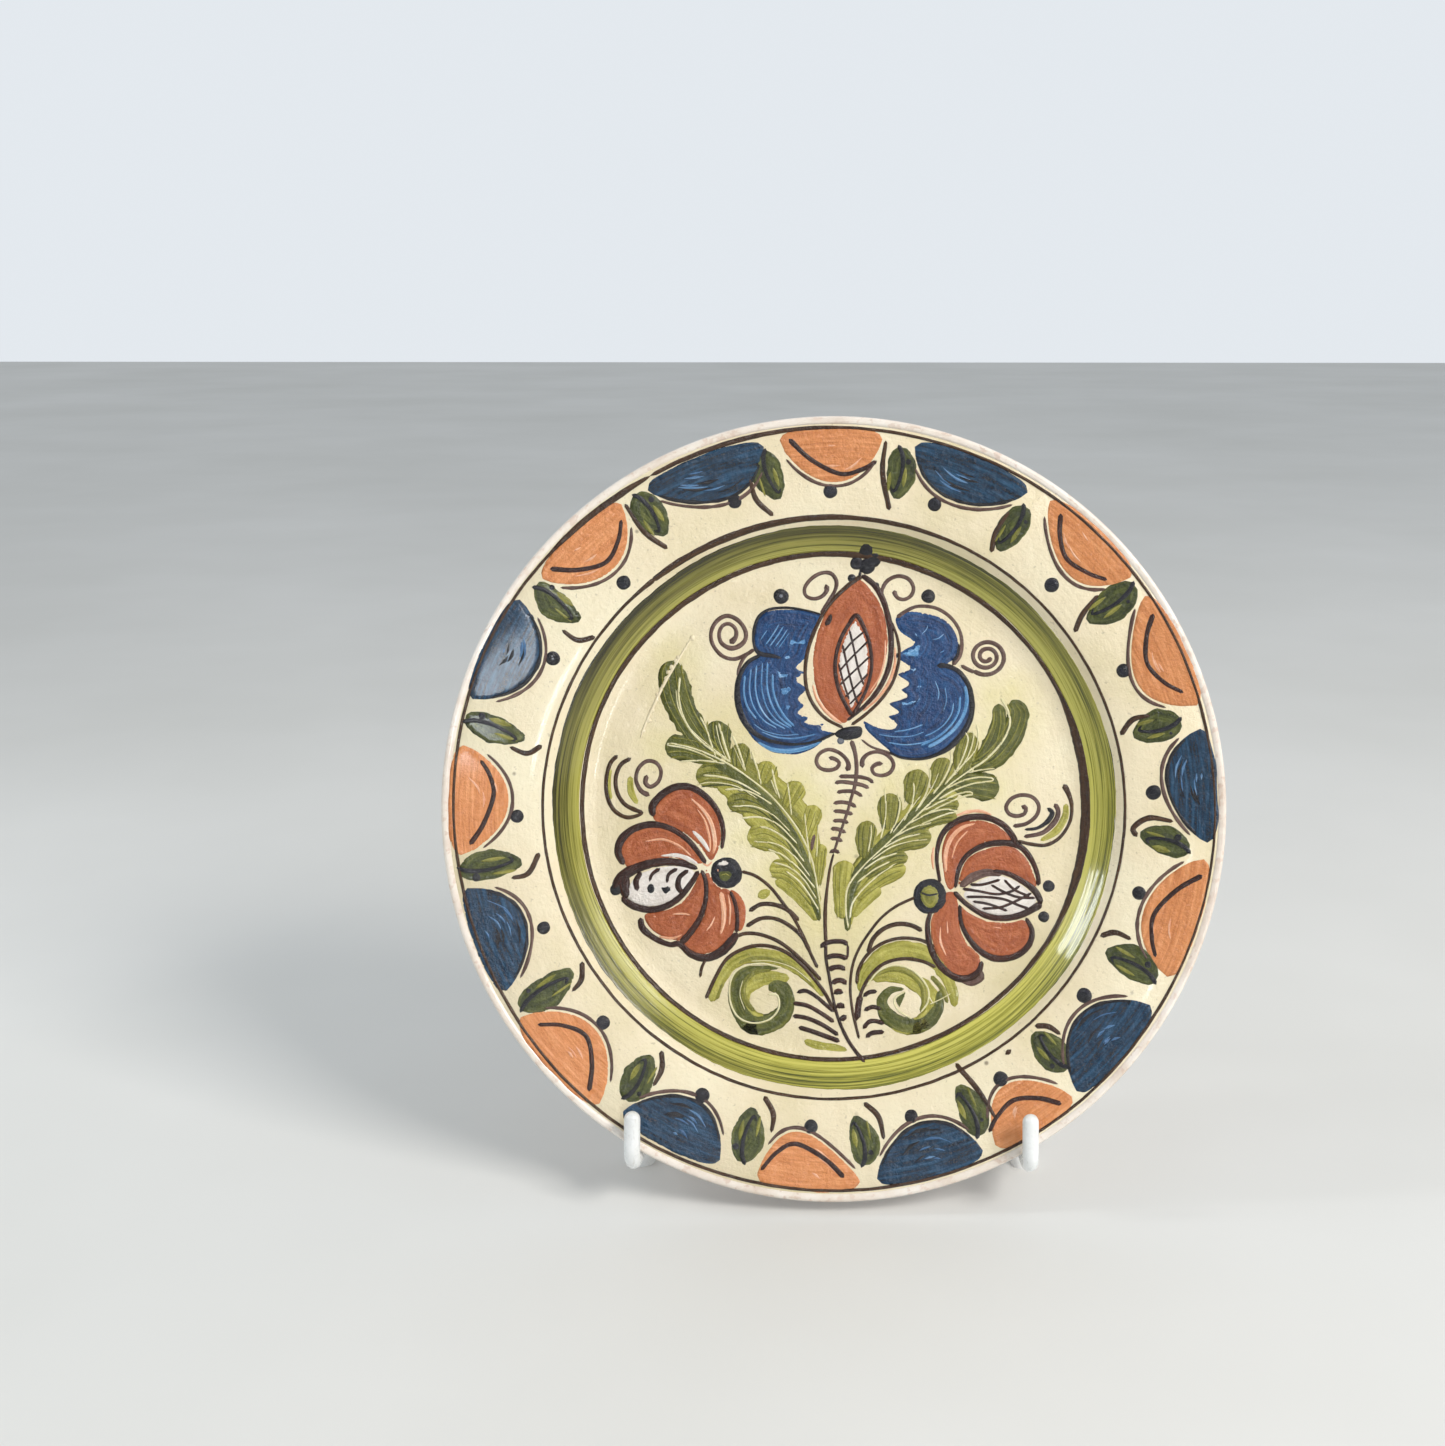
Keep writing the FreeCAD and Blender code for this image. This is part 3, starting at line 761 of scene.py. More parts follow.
# curls and dots round the tulip
plum.marks("""
    -3.7,53 -1.7,56.4 0.2,59.6 0.5,62.2 -1,64.2 -3.6,64.3 -6.3,62.8 -8.2,60.2 -7.8,58 -5.6,57.2 -3.4,57.9
      -2.1,59.6 -2.4,61.2 | 1 0.9 1*3 0.95*5 1 1.3 1.6;
    13.2,57 13.2,59.8 14.7,62.3 17.6,63.5 20.4,62.7 21.8,60.4 21.2,58.2 19.4,57.1 17.6,57.4 16.7,58.6
      16.5,59.6 | 0.8 0.9 1*3 0.95*3 1 1.2 1.4;
    -22,43.3 -24.2,41.8 -27.6,40.5 -31,41.4 -33.6,44.6 -34,48 -32.4,51 -29.6,52.4 -26.6,51.2 -24.6,48.4
      -24.6,45.8 -26.4,44 -28.8,43.5 -31.2,45 -31.8,47.6 -30.8,49.7 -29,50.2 -27.3,48.8 -27.2,46.6
      -28.8,44.8 | 0.9 1*5 1.1*5 1.2 1.2 1.1 1*4 1.1 1.8;
    -22.6,43 -24.8,41 -26.2,38.2 -26.6,35.6 | 0.8 0.9 0.9 0.8
""")
maroon.marks("-0.9,53 -1.4,51.4 -2.4,49.8 | 1.1 1.6 1.6")
black.marks("-14.7,57.8,2.2; 25.9,58,1.95")
grey.marks("-14.7,57.9,1.35")


def spiral(layer, x, v, radius, small, start, turns, width):
    """A coil about (x, v) that closes from one radius to another, from a clock angle."""
    spots = []
    count = int(abs(turns) * 12) + 2
    for i in range(count):
        t = i / (count - 1)
        dx, dv = polar(start + 360 * turns * t, radius + (small - radius) * t ** 0.9)
        spots.append((x + dx, v + dv * 0.94))
    layer.stroke(spots, [width] * (count - 2) + [width * 1.3, width * 1.7])


plum.marks("34.9,39 36.6,38 38.8,37 | 0.9 1 1")
spiral(plum, 42.0, 41.4, 5.6, 1.0, 222, -2.35, 1.1)
plum.marks("""
    3.6,9.7 4.1,11.3 3.2,13.3 1,15 -1.6,15.6 -4,14.4 -4.8,12.2 -3.6,10.4 -1.2,9.9 0.9,10.6 1.5,12 0.3,13
      -1.4,13.4 | 1.7 1.3 1*10 1.1;
    8,10.6 7.9,12.7 9.6,14.5 12.4,15 15.2,13.8 16.5,11.6 15.6,9.4 13.4,8.5 11.2,9 10.6,10.6 12,11.7
      13.6,11.8 | 1.5 1.2 0.9 1*6 1.1 1.1 1.2;
    7.6,18.4 10.4,16.4 14,15.2 17,14.2 | 0.5 0.6 0.7 0.7
""")
black.marks("0.3,20.3 2.8,21.7 7.4,22 7.6,19.4 5.2,18.3 2.6,18.2 0.5,19.2", grid=0.8)
grey.marks("1.9,18.1,1.1", lift=0.2)

# --- the laddered stem ---
plum.marks("""
    4.8,18.2 5.8,15 6.3,11.4 6.2,8 5.7,5 4.8,2 4,-1 3,-4 2,-7 1,-10 0.1,-13 | 1.3 1.1 1.1 1 0.9 0.8 0.8
      0.7*3 0.6;
    1.4,8.2 4,8.2 7,8.1 9.6,7.5 11,6.4 | 1; 0.3,6.3 2,6.7 5,6.4 8,5.8 9.8,5 | 1;
    0.9,3.7 2.6,4.1 5.6,4 8,2.7 | 1; -0.1,0.7 2,1.1 4.6,0.7 6.3,-0.3 | 1; -0.1,-1.4 2.4,-1.5 5.4,-2.2 | 1;
    -0.2,-4.1 2,-4 4.2,-4.6 | 1; -0.8,-6.3 1,-6.3 3.5,-7.3 | 1; -0.9,-9 0.8,-9 2.6,-9.7 | 1;
    -1.1,-12.9 0.2,-12.3 1.8,-12.9 | 1
""")
brown.marks("0.1,-13 -0.9,-17 -1.6,-22 -2.1,-27 -2.2,-32 -2,-37.4 | 0.6 0.7 0.8 1 1.1 1")
maroon.marks("""
    -2,-37.4 -1.9,-42 -1,-47 -0.1,-52 0.9,-56.4 2.3,-60.4 4.4,-64.6 6.6,-67.6 8.9,-70 | 1 0.9 0.8 0.8 0.9
      0.9 1 1 1.1;
    -3.4,-39.1 -2.4,-38 0,-37.3 3,-37.4 4.1,-38.4 | 1.3; -1.9,-42 -0.4,-41.3 2,-41.3 4,-42.1 | 1.4;
    -1.3,-45.2 0.4,-44.4 2.4,-44.4 3.4,-45.2 | 1.4; -0.3,-48.9 1.2,-48 2.8,-48.1 3.8,-49.1 | 1.4;
    0.3,-51.7 1.5,-51 2.9,-51.4 | 1.6; 0.9,-55.4 2.2,-54.8 3.3,-55.5 | 1.6; 2,-59 3,-58.2 3.8,-57.6 | 1.6;
    4.1,-38.2 4.1,-40 4,-42 | 0.7
""")

# --- combed leaves: each lobe is (layer, path, widths) ---
LOBES = [
    (dark_green, "-33,14.4 -37,18.6 -41,24.6 -43.6,30.6 -44.6,36.6 -44,40", [1.5, 4.5, 6.5, 7.4, 6.6, 4.5]),
    (dark_green, "-31,13 -36,14.6 -41.5,16 -46.6,16", [1.5, 3.8, 5.8, 7.2]),
    (olive, "-22,4.6 -27.6,7.6 -33.5,8.4 -38,7.6", [1.5, 4.0, 6.4, 6.2]),
    (olive, "-15,-5 -19.6,-0.8 -24.6,1 -29.4,0.6", [1.5, 4.0, 5.8, 5.4]),
    (yellow, "-9.5,-17 -13.5,-11.4 -18.6,-8.6 -23.8,-9", [1.5, 4.4, 6.6, 5.4]),
    (yellow, "-4.6,-27 -8.4,-21.6 -12.8,-17.8 -17.6,-17.4", [1.5, 4.0, 5.8, 4.8]),
    (yellow, "-4.4,-31.5 -7.8,-27 -12,-23 -16,-20.6", [1.0, 2.4, 2.8, 1.8]),
    (dark_green, "-30,13.6 -31.6,17.6 -32,21.6 -31.8,23.4", [2.0, 5.0, 7.0, 7.0]),
    (olive, "-26,10.4 -25.9,13.8 -24.9,17.2", [3.4, 5.2, 4.6]),
    (yellow, "-20,6 -18.8,9 -17.6,12.2", [3.4, 5.4, 5.6]),
    (yellow, "-13,-0.6 -11,3.6 -9.3,6.6", [2.6, 4.8, 5.2]),
    (yellow, "-7.8,-9 -6.4,-4 -5.1,0.2", [2.4, 4.4, 5.0]),
    (yellow, "-4.2,-22 -3.8,-16 -3.3,-10.5", [1.4, 2.8, 3.0]),
    (dark_green, "38,10.8 44,13.6 48.6,19.4 50.8,25.4 49,29.4", [2.4, 5.2, 5.6, 5.2, 3.4]),
    (dark_green, "40,12.4 43.6,16.8 45.4,22.4 45.4,28.4", [3.2, 5.0, 3.8, 2.6]),
    (dark_green, "32,6.6 37.6,6 42,5.5 45.6,5", [1.0, 3.8, 6.6, 7.4]),
    (olive, "20,-3.4 26,-0.8 31,0.6 34.6,0.6", [1.5, 3.4, 3.8, 3.4]),
    (olive, "19,-7 25,-4.4 30,-2.8 34,-2.6", [1.5, 3.2, 3.4, 3.0]),
    (olive, "13,-13.2 18,-10.2 23,-8.6 27,-8", [2.0, 4.2, 5.4, 4.6]),
    (olive, "9,-19.4 13,-16.4 17,-14.4 20.6,-14", [2.0, 3.8, 3.8, 2.8]),
    (yellow, "6.4,-25.4 11,-21.2 16,-18 20,-16.8", [1.6, 3.8, 4.6, 3.6]),
    (yellow, "5.4,-30.5 9,-26.2 13,-22.6", [1.4, 2.4, 2.4]),
    (olive, "35,8.6 36,13.6 37.2,18.2 38,20.4", [2.6, 5.2, 5.4, 4.0]),
    (olive, "28,4.6 29.6,9.4 31,13.4", [2.6, 5.2, 5.6]),
    (olive, "21,0.6 22.6,5.6 23.7,10.2", [2.6, 5.8, 6.2]),
    (olive, "15,-6.4 15.4,-1 15.8,3.6", [2.6, 5.8, 6.4]),
    (olive, "8.6,-14.4 9,-9 9.5,-4", [2.0, 5.0, 5.2]),
    (yellow, "2.5,-31 2.6,-23 3.2,-15", [1.8, 4.6, 5.6]),
    (dark_green, "-3.8,-31.6 -4.9,-27 -6.7,-20.6 -8.8,-14.4 -12.4,-7.4 -17.4,-0.4 -22.4,4.6 -28,8.8 -33,12",
     [1.0, 2.0, 3.2, 3.4, 3.4, 3.2, 2.8, 2.4, 2.0]),
    (dark_green, "4,-34.4 4.2,-27 5.7,-20.8 10,-14.8 16,-8.6 22,-2.6 28,3 34,7.6 38,10.4",
     [1.2, 2.6, 3.2, 3.2, 3.0, 2.8, 2.4, 2.0, 2.0]),
]
BRISTLES = random.Random(40)
FULL = 1.3
yellow.marks("""
    -4,-31 -5.6,-25 -8,-18.6 -12,-11.4 -17,-4.6 -22.6,1 -28.6,6 -34,10 | 1.5 4.6 8 10.5 11.5 10.5 8 4;
    4.4,-33 5.2,-26 8,-19.4 12.6,-13.4 18.6,-7.4 24.6,-1.6 30,3.4 36,8 | 1.5 4.4 7.4 9.4 10 9.4 7.4 4
""", lift=0.07)
yellow.marks("-4.4,-16 -6,-8.6 -9,-2.4 -13,3 -18,8 | 2 4.6 5.6 5.4 3.2", lift=0.074)
olive.marks("-5,-12 -8.4,-5 -13,0.6 -18.4,6 -24.4,10.8 -30,15 | 1.4 3.8 5.4 6.4 6.2 4.4", lift=0.078)
olive.marks("""
    -6,-22 -9,-15 -14,-7.4 -20,-0.4 -27,6 -33,10.6 | 1.5 3.6 5.2 6 5.6 3;
    7,-21 12,-13.8 18.6,-7 26,0.4 33,6 | 1.5 3.4 4.8 5 3
""", lift=0.085)
for index, (layer, line, widths) in enumerate(LOBES):
    points = points_of(line)
    if index < len(LOBES) - 2:
        widths = [max(widths[0], 0.55 * max(widths)), max(widths[1], 0.8 * max(widths))] + widths[2:]
    widths = [width * FULL for width in widths]
    layer.stroke(points, widths, lift=0.10 + 0.004 * index)
    if max(widths) < 3.9 or index >= len(LOBES) - 2:
        continue
    for side in (-0.62, -0.2, 0.3, 0.66):
        under_layer = olive if layer is yellow else dark_green if layer is olive else olive
        offset = []
        for i, (x, v) in enumerate(points):
            a, b = points[max(i - 1, 0)], points[min(i + 1, len(points) - 1)]
            tx, tv = b[0] - a[0], b[1] - a[1]
            size = math.hypot(tx, tv)
            shift = side * widths[i] / 2
            offset.append((x - tv / size * shift, v + tx / size * shift))
        short = BRISTLES.uniform(0.1, 0.4)
        last, before = offset[-1], offset[-2]
        offset[-1] = (last[0] + (before[0] - last[0]) * short, last[1] + (before[1] - last[1]) * short)
        under_layer.stroke(offset, BRISTLES.uniform(0.25, 0.6), lift=0.25)
scratch.marks("""
    -3.6,-27 -4.6,-21 -5.9,-15 -8.6,-8.6 -12.6,-2.6 -17.6,3 -23.6,7.8 -29.6,11.8 -36,14.8 -41,16.4
      -45.4,17.2 | 0.6;
    -45.4,17.2 -45.9,16.9 -45.4,16.6 -41,15.8 -36.4,14.2 -32,12 | 0.55;
    -28.4,12 -34,15.6 -38.8,19.8 -41.8,25 -42.9,30.4 -42.6,35.4 | 0.7;
    -29.6,13 -35,17 -40,21.6 -42.9,26.8 -43.7,32 | 0.4; -32.6,13.6 -34,17.4 -35.2,21.2 -37,24.6 | 0.6;
    -28.6,12.4 -30,16.4 -31.2,20.6 -31.9,22.9 | 0.75; -29.2,12 -31.4,17.2 -32.6,22.4 | 0.35;
    -24.4,9.6 -25.4,13 -26.8,16.8 -28,19.4 | 0.7; -24.8,10 -26.6,14 -28.4,18 | 0.3;
    -20,5.8 -20.8,9.4 -22,12.8 -22.7,15 | 0.6; -14.8,2 -16,5.6 -17,10.2 | 0.6; -15.6,3 -17.4,7.4 | 0.4;
    -11.6,-2.6 -12.1,2 -12.7,6.4 | 0.5; -6.4,-16 -7.2,-9 -8,-2 | 0.45; -4.6,-14 -4.4,-9 -4.2,-5 | 0.4;
    -30,11.6 -36,12.4 -42.4,12.2 | 0.55; -20,3 -25.6,6.2 -31,7.9 -36,8.4 | 0.7;
    -17,0.4 -22,3.4 -26.6,4.6 -30,4.4 | 0.65; -21,2 -27,5.4 -34,6.4 -38,5.6 | 0.4;
    -12,-7 -16.6,-2.6 -22,-0.2 -28,-0.2 | 0.5; -10,-10.4 -15,-5.4 -20,-3.2 -25.4,-3.4 | 0.6;
    -8,-15.4 -12.6,-9.6 -17.4,-6.4 -20.4,-5.8 | 0.7; -6.4,-19.4 -10.6,-14 -15.6,-10.6 -22,-9.8 | 0.5;
    -5,-22.6 -9.6,-17.2 -14,-13.6 -18,-12 | 0.6; -4.6,-25.6 -8,-20.4 -12,-17 -16.4,-15.6 | 0.5;
    -4,-28.6 -6.2,-25 -9.4,-20.8 -13,-18 | 0.6;
    4.2,-33.6 3.5,-27.6 4.2,-22 8.4,-16.4 14,-11 20,-5.4 25.6,0 31,5.2 36.6,9.4 41.6,12.8 46,17.4
      48.4,22.2 48,26.4 46,30 | 0.75;
    4.6,-31 5.4,-26.6 8.6,-22.4 13,-18.6 17.4,-15.6 | 0.6;
    31,5 36,7.3 40.6,8.2 43.6,7.9 43.8,7.3 42.6,7 38.4,6.4 33.4,4.6 29,2 | 0.6;
    25,-1 30,1.6 34.6,3.6 37.6,4.1 38.2,3.4 36,2.9 31.4,1 26,-1.8 | 0.6; 37,9.4 40.6,10.2 44.4,10.6 | 0.5;
    21,-4.6 26,-2 30.4,-0.8 33.8,-1.2 30,-2.4 24,-5 | 0.6; 17,-8.2 22,-5.8 27,-4.4 | 0.6;
    14,-11.4 19,-8.8 24,-7.4 | 0.6; 10.6,-14.8 16,-11.2 21.4,-9.6 26,-9 | 0.45;
    8.4,-17.4 13,-14.4 17.6,-12.8 | 0.6; 6.6,-21 11,-17.6 15.6,-15.2 | 0.6;
    30.6,6 34,10.4 36,14.6 37,18.6 36.2,20.6 | 0.6; 31.4,7 35.6,11.6 37.8,16 38.6,20 38,20.9 | 0.5;
    34,10 38.6,15 39.8,19.6 39.3,22.6 | 0.5; 27.4,3.4 30.6,8 32.4,12.4 32.2,15.4 | 0.65;
    22.6,-1.4 25.4,3.4 26.6,8 26.4,10.6 | 0.6; 19.4,-4 21.6,0.6 22.2,4.6 22,6.6 | 0.6;
    15.6,-7.6 17.6,-3.4 18.3,0.6 17.6,3.6 | 0.6; 13,-9 14.2,-4 14.4,0.8 14,5 | 0.5;
    9.6,-12.6 10.4,-8 10.4,-5 | 0.5; 16.4,-7.2 20,-2.4 24,3 | 0.4; 23.4,-0.6 27,5 29,9.4 | 0.35
""", lift=0.28)
plum.marks("-5.2,-7.8 -5.8,-10.4 -6,-12.4 | 0.9 1.1 0.6")
yellow.marks("""
    -17.4,-23.4 -19.2,-24.4 -20.8,-25.2 | 1.8 3 2; -7.8,-64.6 -4,-65.8 0.6,-66.4 4,-67 | 1.8 2.8 2.2 1.2
""")

# --- scrolls at the foot ---
yellow.marks("""
    -2.6,-52.4 -6,-47.8 -11,-43.8 -17,-41.6 -23,-41.4 -27.6,-43.4 -31,-48 -33.6,-54 | 1.2 3 4.2 4.4 4.2 4
      3.6 2.4
""")
yellow.marks("""
    -12,-47.5 -18,-47.4 -23.5,-49.5 -25.6,-53.5 -23.5,-58 -18.5,-59.8 -14,-57.6 | 2 4.4 5.6 6 5.4 4.6 2.4;
    11,-47.6 16,-46.6 22,-48 26.4,-51.6 27.6,-56 24,-60 18.4,-60.4 14.4,-56.5 | 2 4 5 5.6 5.4 5 4.4 2.4
""", lift=0.08)
yellow.marks("""
    7.4,-51 9.4,-45.4 14,-41 20,-39.4 26,-41 30.4,-45.4 33,-51 33.6,-55 | 1.8 4 5.2 5.4 4.6 4 3.2 2
""")
olive.marks("""
    -5,-50 -10,-45 -16,-42.4 -22,-42 -26,-43.4 | 0.6 1 1.2 1.4 1; -30.4,-49 -32,-53.4 | 0.8 1.2
""", lift=0.16)
olive.marks("-17,-45.2 -22,-46.2 -24.6,-50 -23.8,-54 -21.6,-56.6 | 0.8 1.6 1.8 1.8 1", lift=0.2)
olive.marks("27,-46.6 30,-50 31.6,-54 | 1.4 1.8 1", lift=0.16)
olive.marks("9.4,-48.2 14,-45.2 19.4,-45 24,-48.4 25.2,-53 24.2,-56.6 | 1.4 1.8 2 2 1.8 1", lift=0.18)
dark_green.marks("""
    -15,-44.6 -20,-44.9 -25,-46.6 -26.6,-50.6 -25.8,-55.8 -22.4,-60 -17,-59.8 -13.2,-56.4 -12.8,-52
      -15.2,-49.6 -17.6,-50.8 | 0.8 1.8 4 4.6 5 6.2 5.8 5 4.8 4.4 3.6;
    29.4,-50.6 28.6,-56 24.6,-60 19,-60 14.8,-57.2 13.6,-53.4 15.8,-50.6 19.6,-50.2 | 1.6 4.2 4.6 4.8 4.6
      3.2 2.4 0.8;
    17.2,-53 20,-51 19.4,-53.4 18.4,-55.4
""", grid=0.7)
scratch.marks("""
    -14,-44.6 -20,-43.5 -25.4,-44.7 -28.1,-48 -28.3,-53.6 -26.2,-58 -22.2,-59.8 -17.6,-58.9 -14.9,-55.8
      -15.3,-52.2 -18,-51.9 | 0.65;
    -6,-48.4 -11,-44.6 -17,-42.8 -22.6,-42.8 | 0.3; -24.8,-48 -25.6,-52 -24.2,-56.2 | 0.3;
    9.2,-49.6 12.6,-45.4 17.4,-43.7 22.4,-45.4 26,-49.6 26.2,-53.6 24.2,-56.6 | 0.6;
    20,-50.8 17,-53 18,-56 21.8,-58.4 | 0.6; 26.6,-54.4 29.6,-53 32.4,-51.4 | 0.4;
    26.4,-52 27.6,-54.2 | 0.35
""", lift=0.27)
brown.marks("""
    -25.4,-18.1 -21.4,-19.4 -17.4,-22.4 -14,-26.6 -10.8,-31 -8.2,-36 -6,-41 -4.2,-44.6 | 0.9;
    -6.4,-40 -8.6,-36 -12,-33 -16,-31.1 -20,-31.1 -24,-33.3 | 1.1;
    -9.4,-31.6 -12.4,-28.8 -16,-27.3 -20,-27.2 -23.2,-29.1 | 1.2;
    -3.2,-48 -6.4,-44.6 -10.4,-40.8 -15,-37.4 -20,-35.5 -24,-35.2 -26.6,-36 | 1;
    0.2,-56 -2,-51.8 -5.2,-47.6 -9.4,-43 -14,-39.8 -19,-38.5 -24,-39.2 -29,-42 -32,-46.6 -35,-53.2 | 1;
    -35,-42.2 -36.2,-44.8 -36.6,-47.4 | 0.8;
    22.6,-25 17.4,-27.5 13.2,-30.8 10,-34.8 7.2,-39.2 5.4,-44 4.8,-50 5.4,-56 6.3,-60 7.3,-64 | 0.75;
    24.6,-34.2 21.4,-32.7 17.6,-32.4 13.8,-33.8 11,-36.6 9.6,-40.4 | 1.2;
    28,-38.6 24,-36.7 18.4,-36.3 13.2,-37.9 9.2,-41.2 7,-45.2 6.6,-49 | 0.9;
    28.4,-44.2 24.4,-42.5 19.4,-41.9 14.4,-43.1 10.8,-46 8.3,-50 7,-54.6 6.6,-59 | 1
""")
maroon.marks("""
    -9.9,-51.4 -7.4,-50.9 -4.4,-52.6 -2,-54.6 0.4,-56.6 | 1.1; -10.9,-54.3 -7,-55 -3.2,-57 0.4,-59.4 | 1.2;
    -11,-57.8 -7.4,-58.3 -3,-60.1 1.6,-63 | 1.2; -9.4,-60.9 -6,-61.9 -2,-63.3 2,-64.7 | 1.3;
    8.4,-52.4 10,-51.2 12.2,-50.9 | 1.2; 8.6,-56.2 11,-55.2 13.4,-55.8 | 1.2;
    8.4,-61.2 10,-59.3 12,-59.1 14.2,-59.8 | 1.2; 9.2,-63.6 10.8,-62.4 14.2,-62 | 1.3;
    6.8,-58.6 7,-55.4 7.6,-52 | 1.8
""")

# --- the left flower ---
orange.marks("""
    -49.8,-4 -49.4,-0.5 -46,3.4 -42,4.6 -37.5,3.6 -33.5,0.2 -31.4,-5 -31,-10 -32.4,-14 -34.2,-15 -37,-11.4
      -41,-7.9 -46,-5.6;
    -57.6,-16.2 -59.2,-12 -57.5,-8.4 -53,-6 -48,-5.4 -43,-7.2 -38.8,-10.6 -35.4,-15 -37.6,-16.2 -44,-14.6
      -50,-15.4 -54,-17.2 -56.6,-17.2;
    -52,-30.2 -47,-29 -42,-26.8 -38.5,-22 -36.8,-18.4 -35.2,-20.6 -35.4,-27 -37.6,-33 -41,-37.2 -46,-36.6
      -50.4,-34;
    -35.2,-17.4 -32,-22 -28.4,-23.6 -27,-29 -27,-34 -30,-38 -34,-40.8 -38,-40.8 -41.4,-38.4 -38,-34.4
      -35.6,-29.6 -35,-24;
    -28.4,-23.4 -26,-24.2 -24.4,-27 -24,-31 -25,-34.2 -26.4,-34.4 -26.6,-29
""")
maroon.marks("""
    -49.7,-3.1 -50,-0.2 -47.6,2.8 -43.8,5 -39.4,5 -35,2.2 -31.8,-2 -30.4,-7 -30.8,-12 | 1.8 2.2 2.1 2 1.9
      1.8 1.5 1.3 0.9;
    -57.8,-16.4 -59.4,-13 -58.4,-9.4 -55,-6.5 -50,-5.3 -45,-6.4 -40.6,-9.2 -37.4,-12.8 -35.2,-16 | 1.8 2.2
      2.3 2.1 1.9 1.8 1.6 1.5 1.4;
    -36.4,-17.8 -35.2,-21 -35.2,-26 -36.8,-31 -39.4,-35 -42,-38 | 1 1.4 1.4 1.6 1.9 2;
    -53.2,-31 -52.5,-34 -49,-36.8 -45,-38.4 -42.4,-38.2 -39,-41 -35,-42 -31,-40.4 -28,-37.4 -26.4,-35 |
      1.7 1.9 1.6 1.4 1.7 2 2.2 2.5 2.6 1.5;
    -28.4,-23.6 -27,-27 -26.4,-31 -26.6,-35 | 1 1.2 1.2 1.3;
    -60.6,-23 -58.4,-19.9 -54.6,-17.4 -48.6,-15.7 -42.6,-15.8 -37.4,-17.4 | 2 3 2.8 2.4 2 1.2;
    -57.6,-19 -57.9,-22 -56.9,-25.6 | 3 3.4 2.2;
    -58.4,-25.4 -55.4,-27.7 -51,-28.8 -46.6,-28 -42.4,-25.3 -39,-21 -37.2,-18 | 1.8 1.9 1.8*3 1.7 1.2;
    -53,-18.4 -54.4,-21 -54,-23.6 | 1.4 1.7 1.8; -47.8,-17.4 -50,-19 -50.7,-21 | 1.2 1.1 0.9;
    -43,-17.4 -45.4,-19 -45.9,-21.4 | 1.2 1.1 0.9;
    -40,-17.8 -42.4,-19.8 -42.8,-22.4 -41.6,-24.2 | 1.3 1.6 1.9 1.7
""")
peach.marks("""
    -39.4,2 -36,-1.2 -33.7,-5 -32.7,-10 -33.2,-13.4 | 0.5 1.2 1.5 1.5 0.8;
    -37.6,-1 -35.4,-4.4 -34.2,-9 -34,-12.6 | 0.3 0.7 0.9 0.5;
    -52,-9.9 -47,-9.4 -42.6,-11.2 -39.2,-14 | 0.4 0.9 0.9 0.5;
    -36.4,-15.4 -34.8,-16.6 -33.4,-15.4 | 0.5 0.7 0.4;
    -31,-23.8 -30.2,-28 -30.2,-32 -31,-35.4 | 1.8 1.9 1.6 0.8;
    -29,-24.4 -28.4,-28.4 -28.6,-33 | 0.4 0.8 0.5; -32.6,-30.6 -33.6,-32.8 -35,-34.6 | 0.4 0.7 0.4;
    -44.4,-30 -41.6,-29.8 -39.4,-30.2 | 0.4 0.8 0.4; -49.6,-30.6 -48.8,-30.8 | 0.6 0.6;
    -48,-36.2 -44.4,-36.6 -41.6,-35.6 | 0.6 0.9 0.5
""")
peach.marks("-32.5,-17.4 -31.9,-16.4 -31.2,-17.4 -31.4,-18.8 -32.1,-19", lift=0.33, grid=0.7)
white.marks("""
    -38.9,-7 -37,-8.8 -35.4,-10.8 -34.2,-12.8 | 0.9 1.6 1.5 0.8;
    -47.6,-13.9 -43.4,-13.7 -40,-14.7 -37.4,-16.2 | 0.5 1.4 1.6 0.9
""")
white.marks("""
    -57,-24 -54.4,-19.6 -49.4,-17.4 -43.4,-16.6 -38.6,-18 -38.8,-21.4 -42,-25 -46,-27.1 -51,-27.9
      -55.6,-26.6
""", lift=0.16)
white.marks("-32.2,-16.6 -31.4,-15.3 -29.4,-14.9 -28.4,-16 -30,-16.9", lift=0.34, grid=0.7)
black.marks("""
    -60,-23.3,1.7; -50.3,-23,1.35,1.2; -47.6,-22.4 -44.7,-22.4 -45,-23.8 -46.2,-24.7 -47.3,-23.8
""", grid=0.7)
black.marks("-29.6,-18.6,4.45", lift=0.24)
dark_green.marks("""
    -32,-18.4 -30.6,-17.7 -28.4,-17.8 -27.7,-19.2 -28.8,-21 -30.6,-21.2 -31.7,-20.2
""", lift=0.33, grid=0.7)
yellow.marks("-31,-19.2 -29.6,-18.8 -28.6,-19.4 | 0.5", lift=0.38)

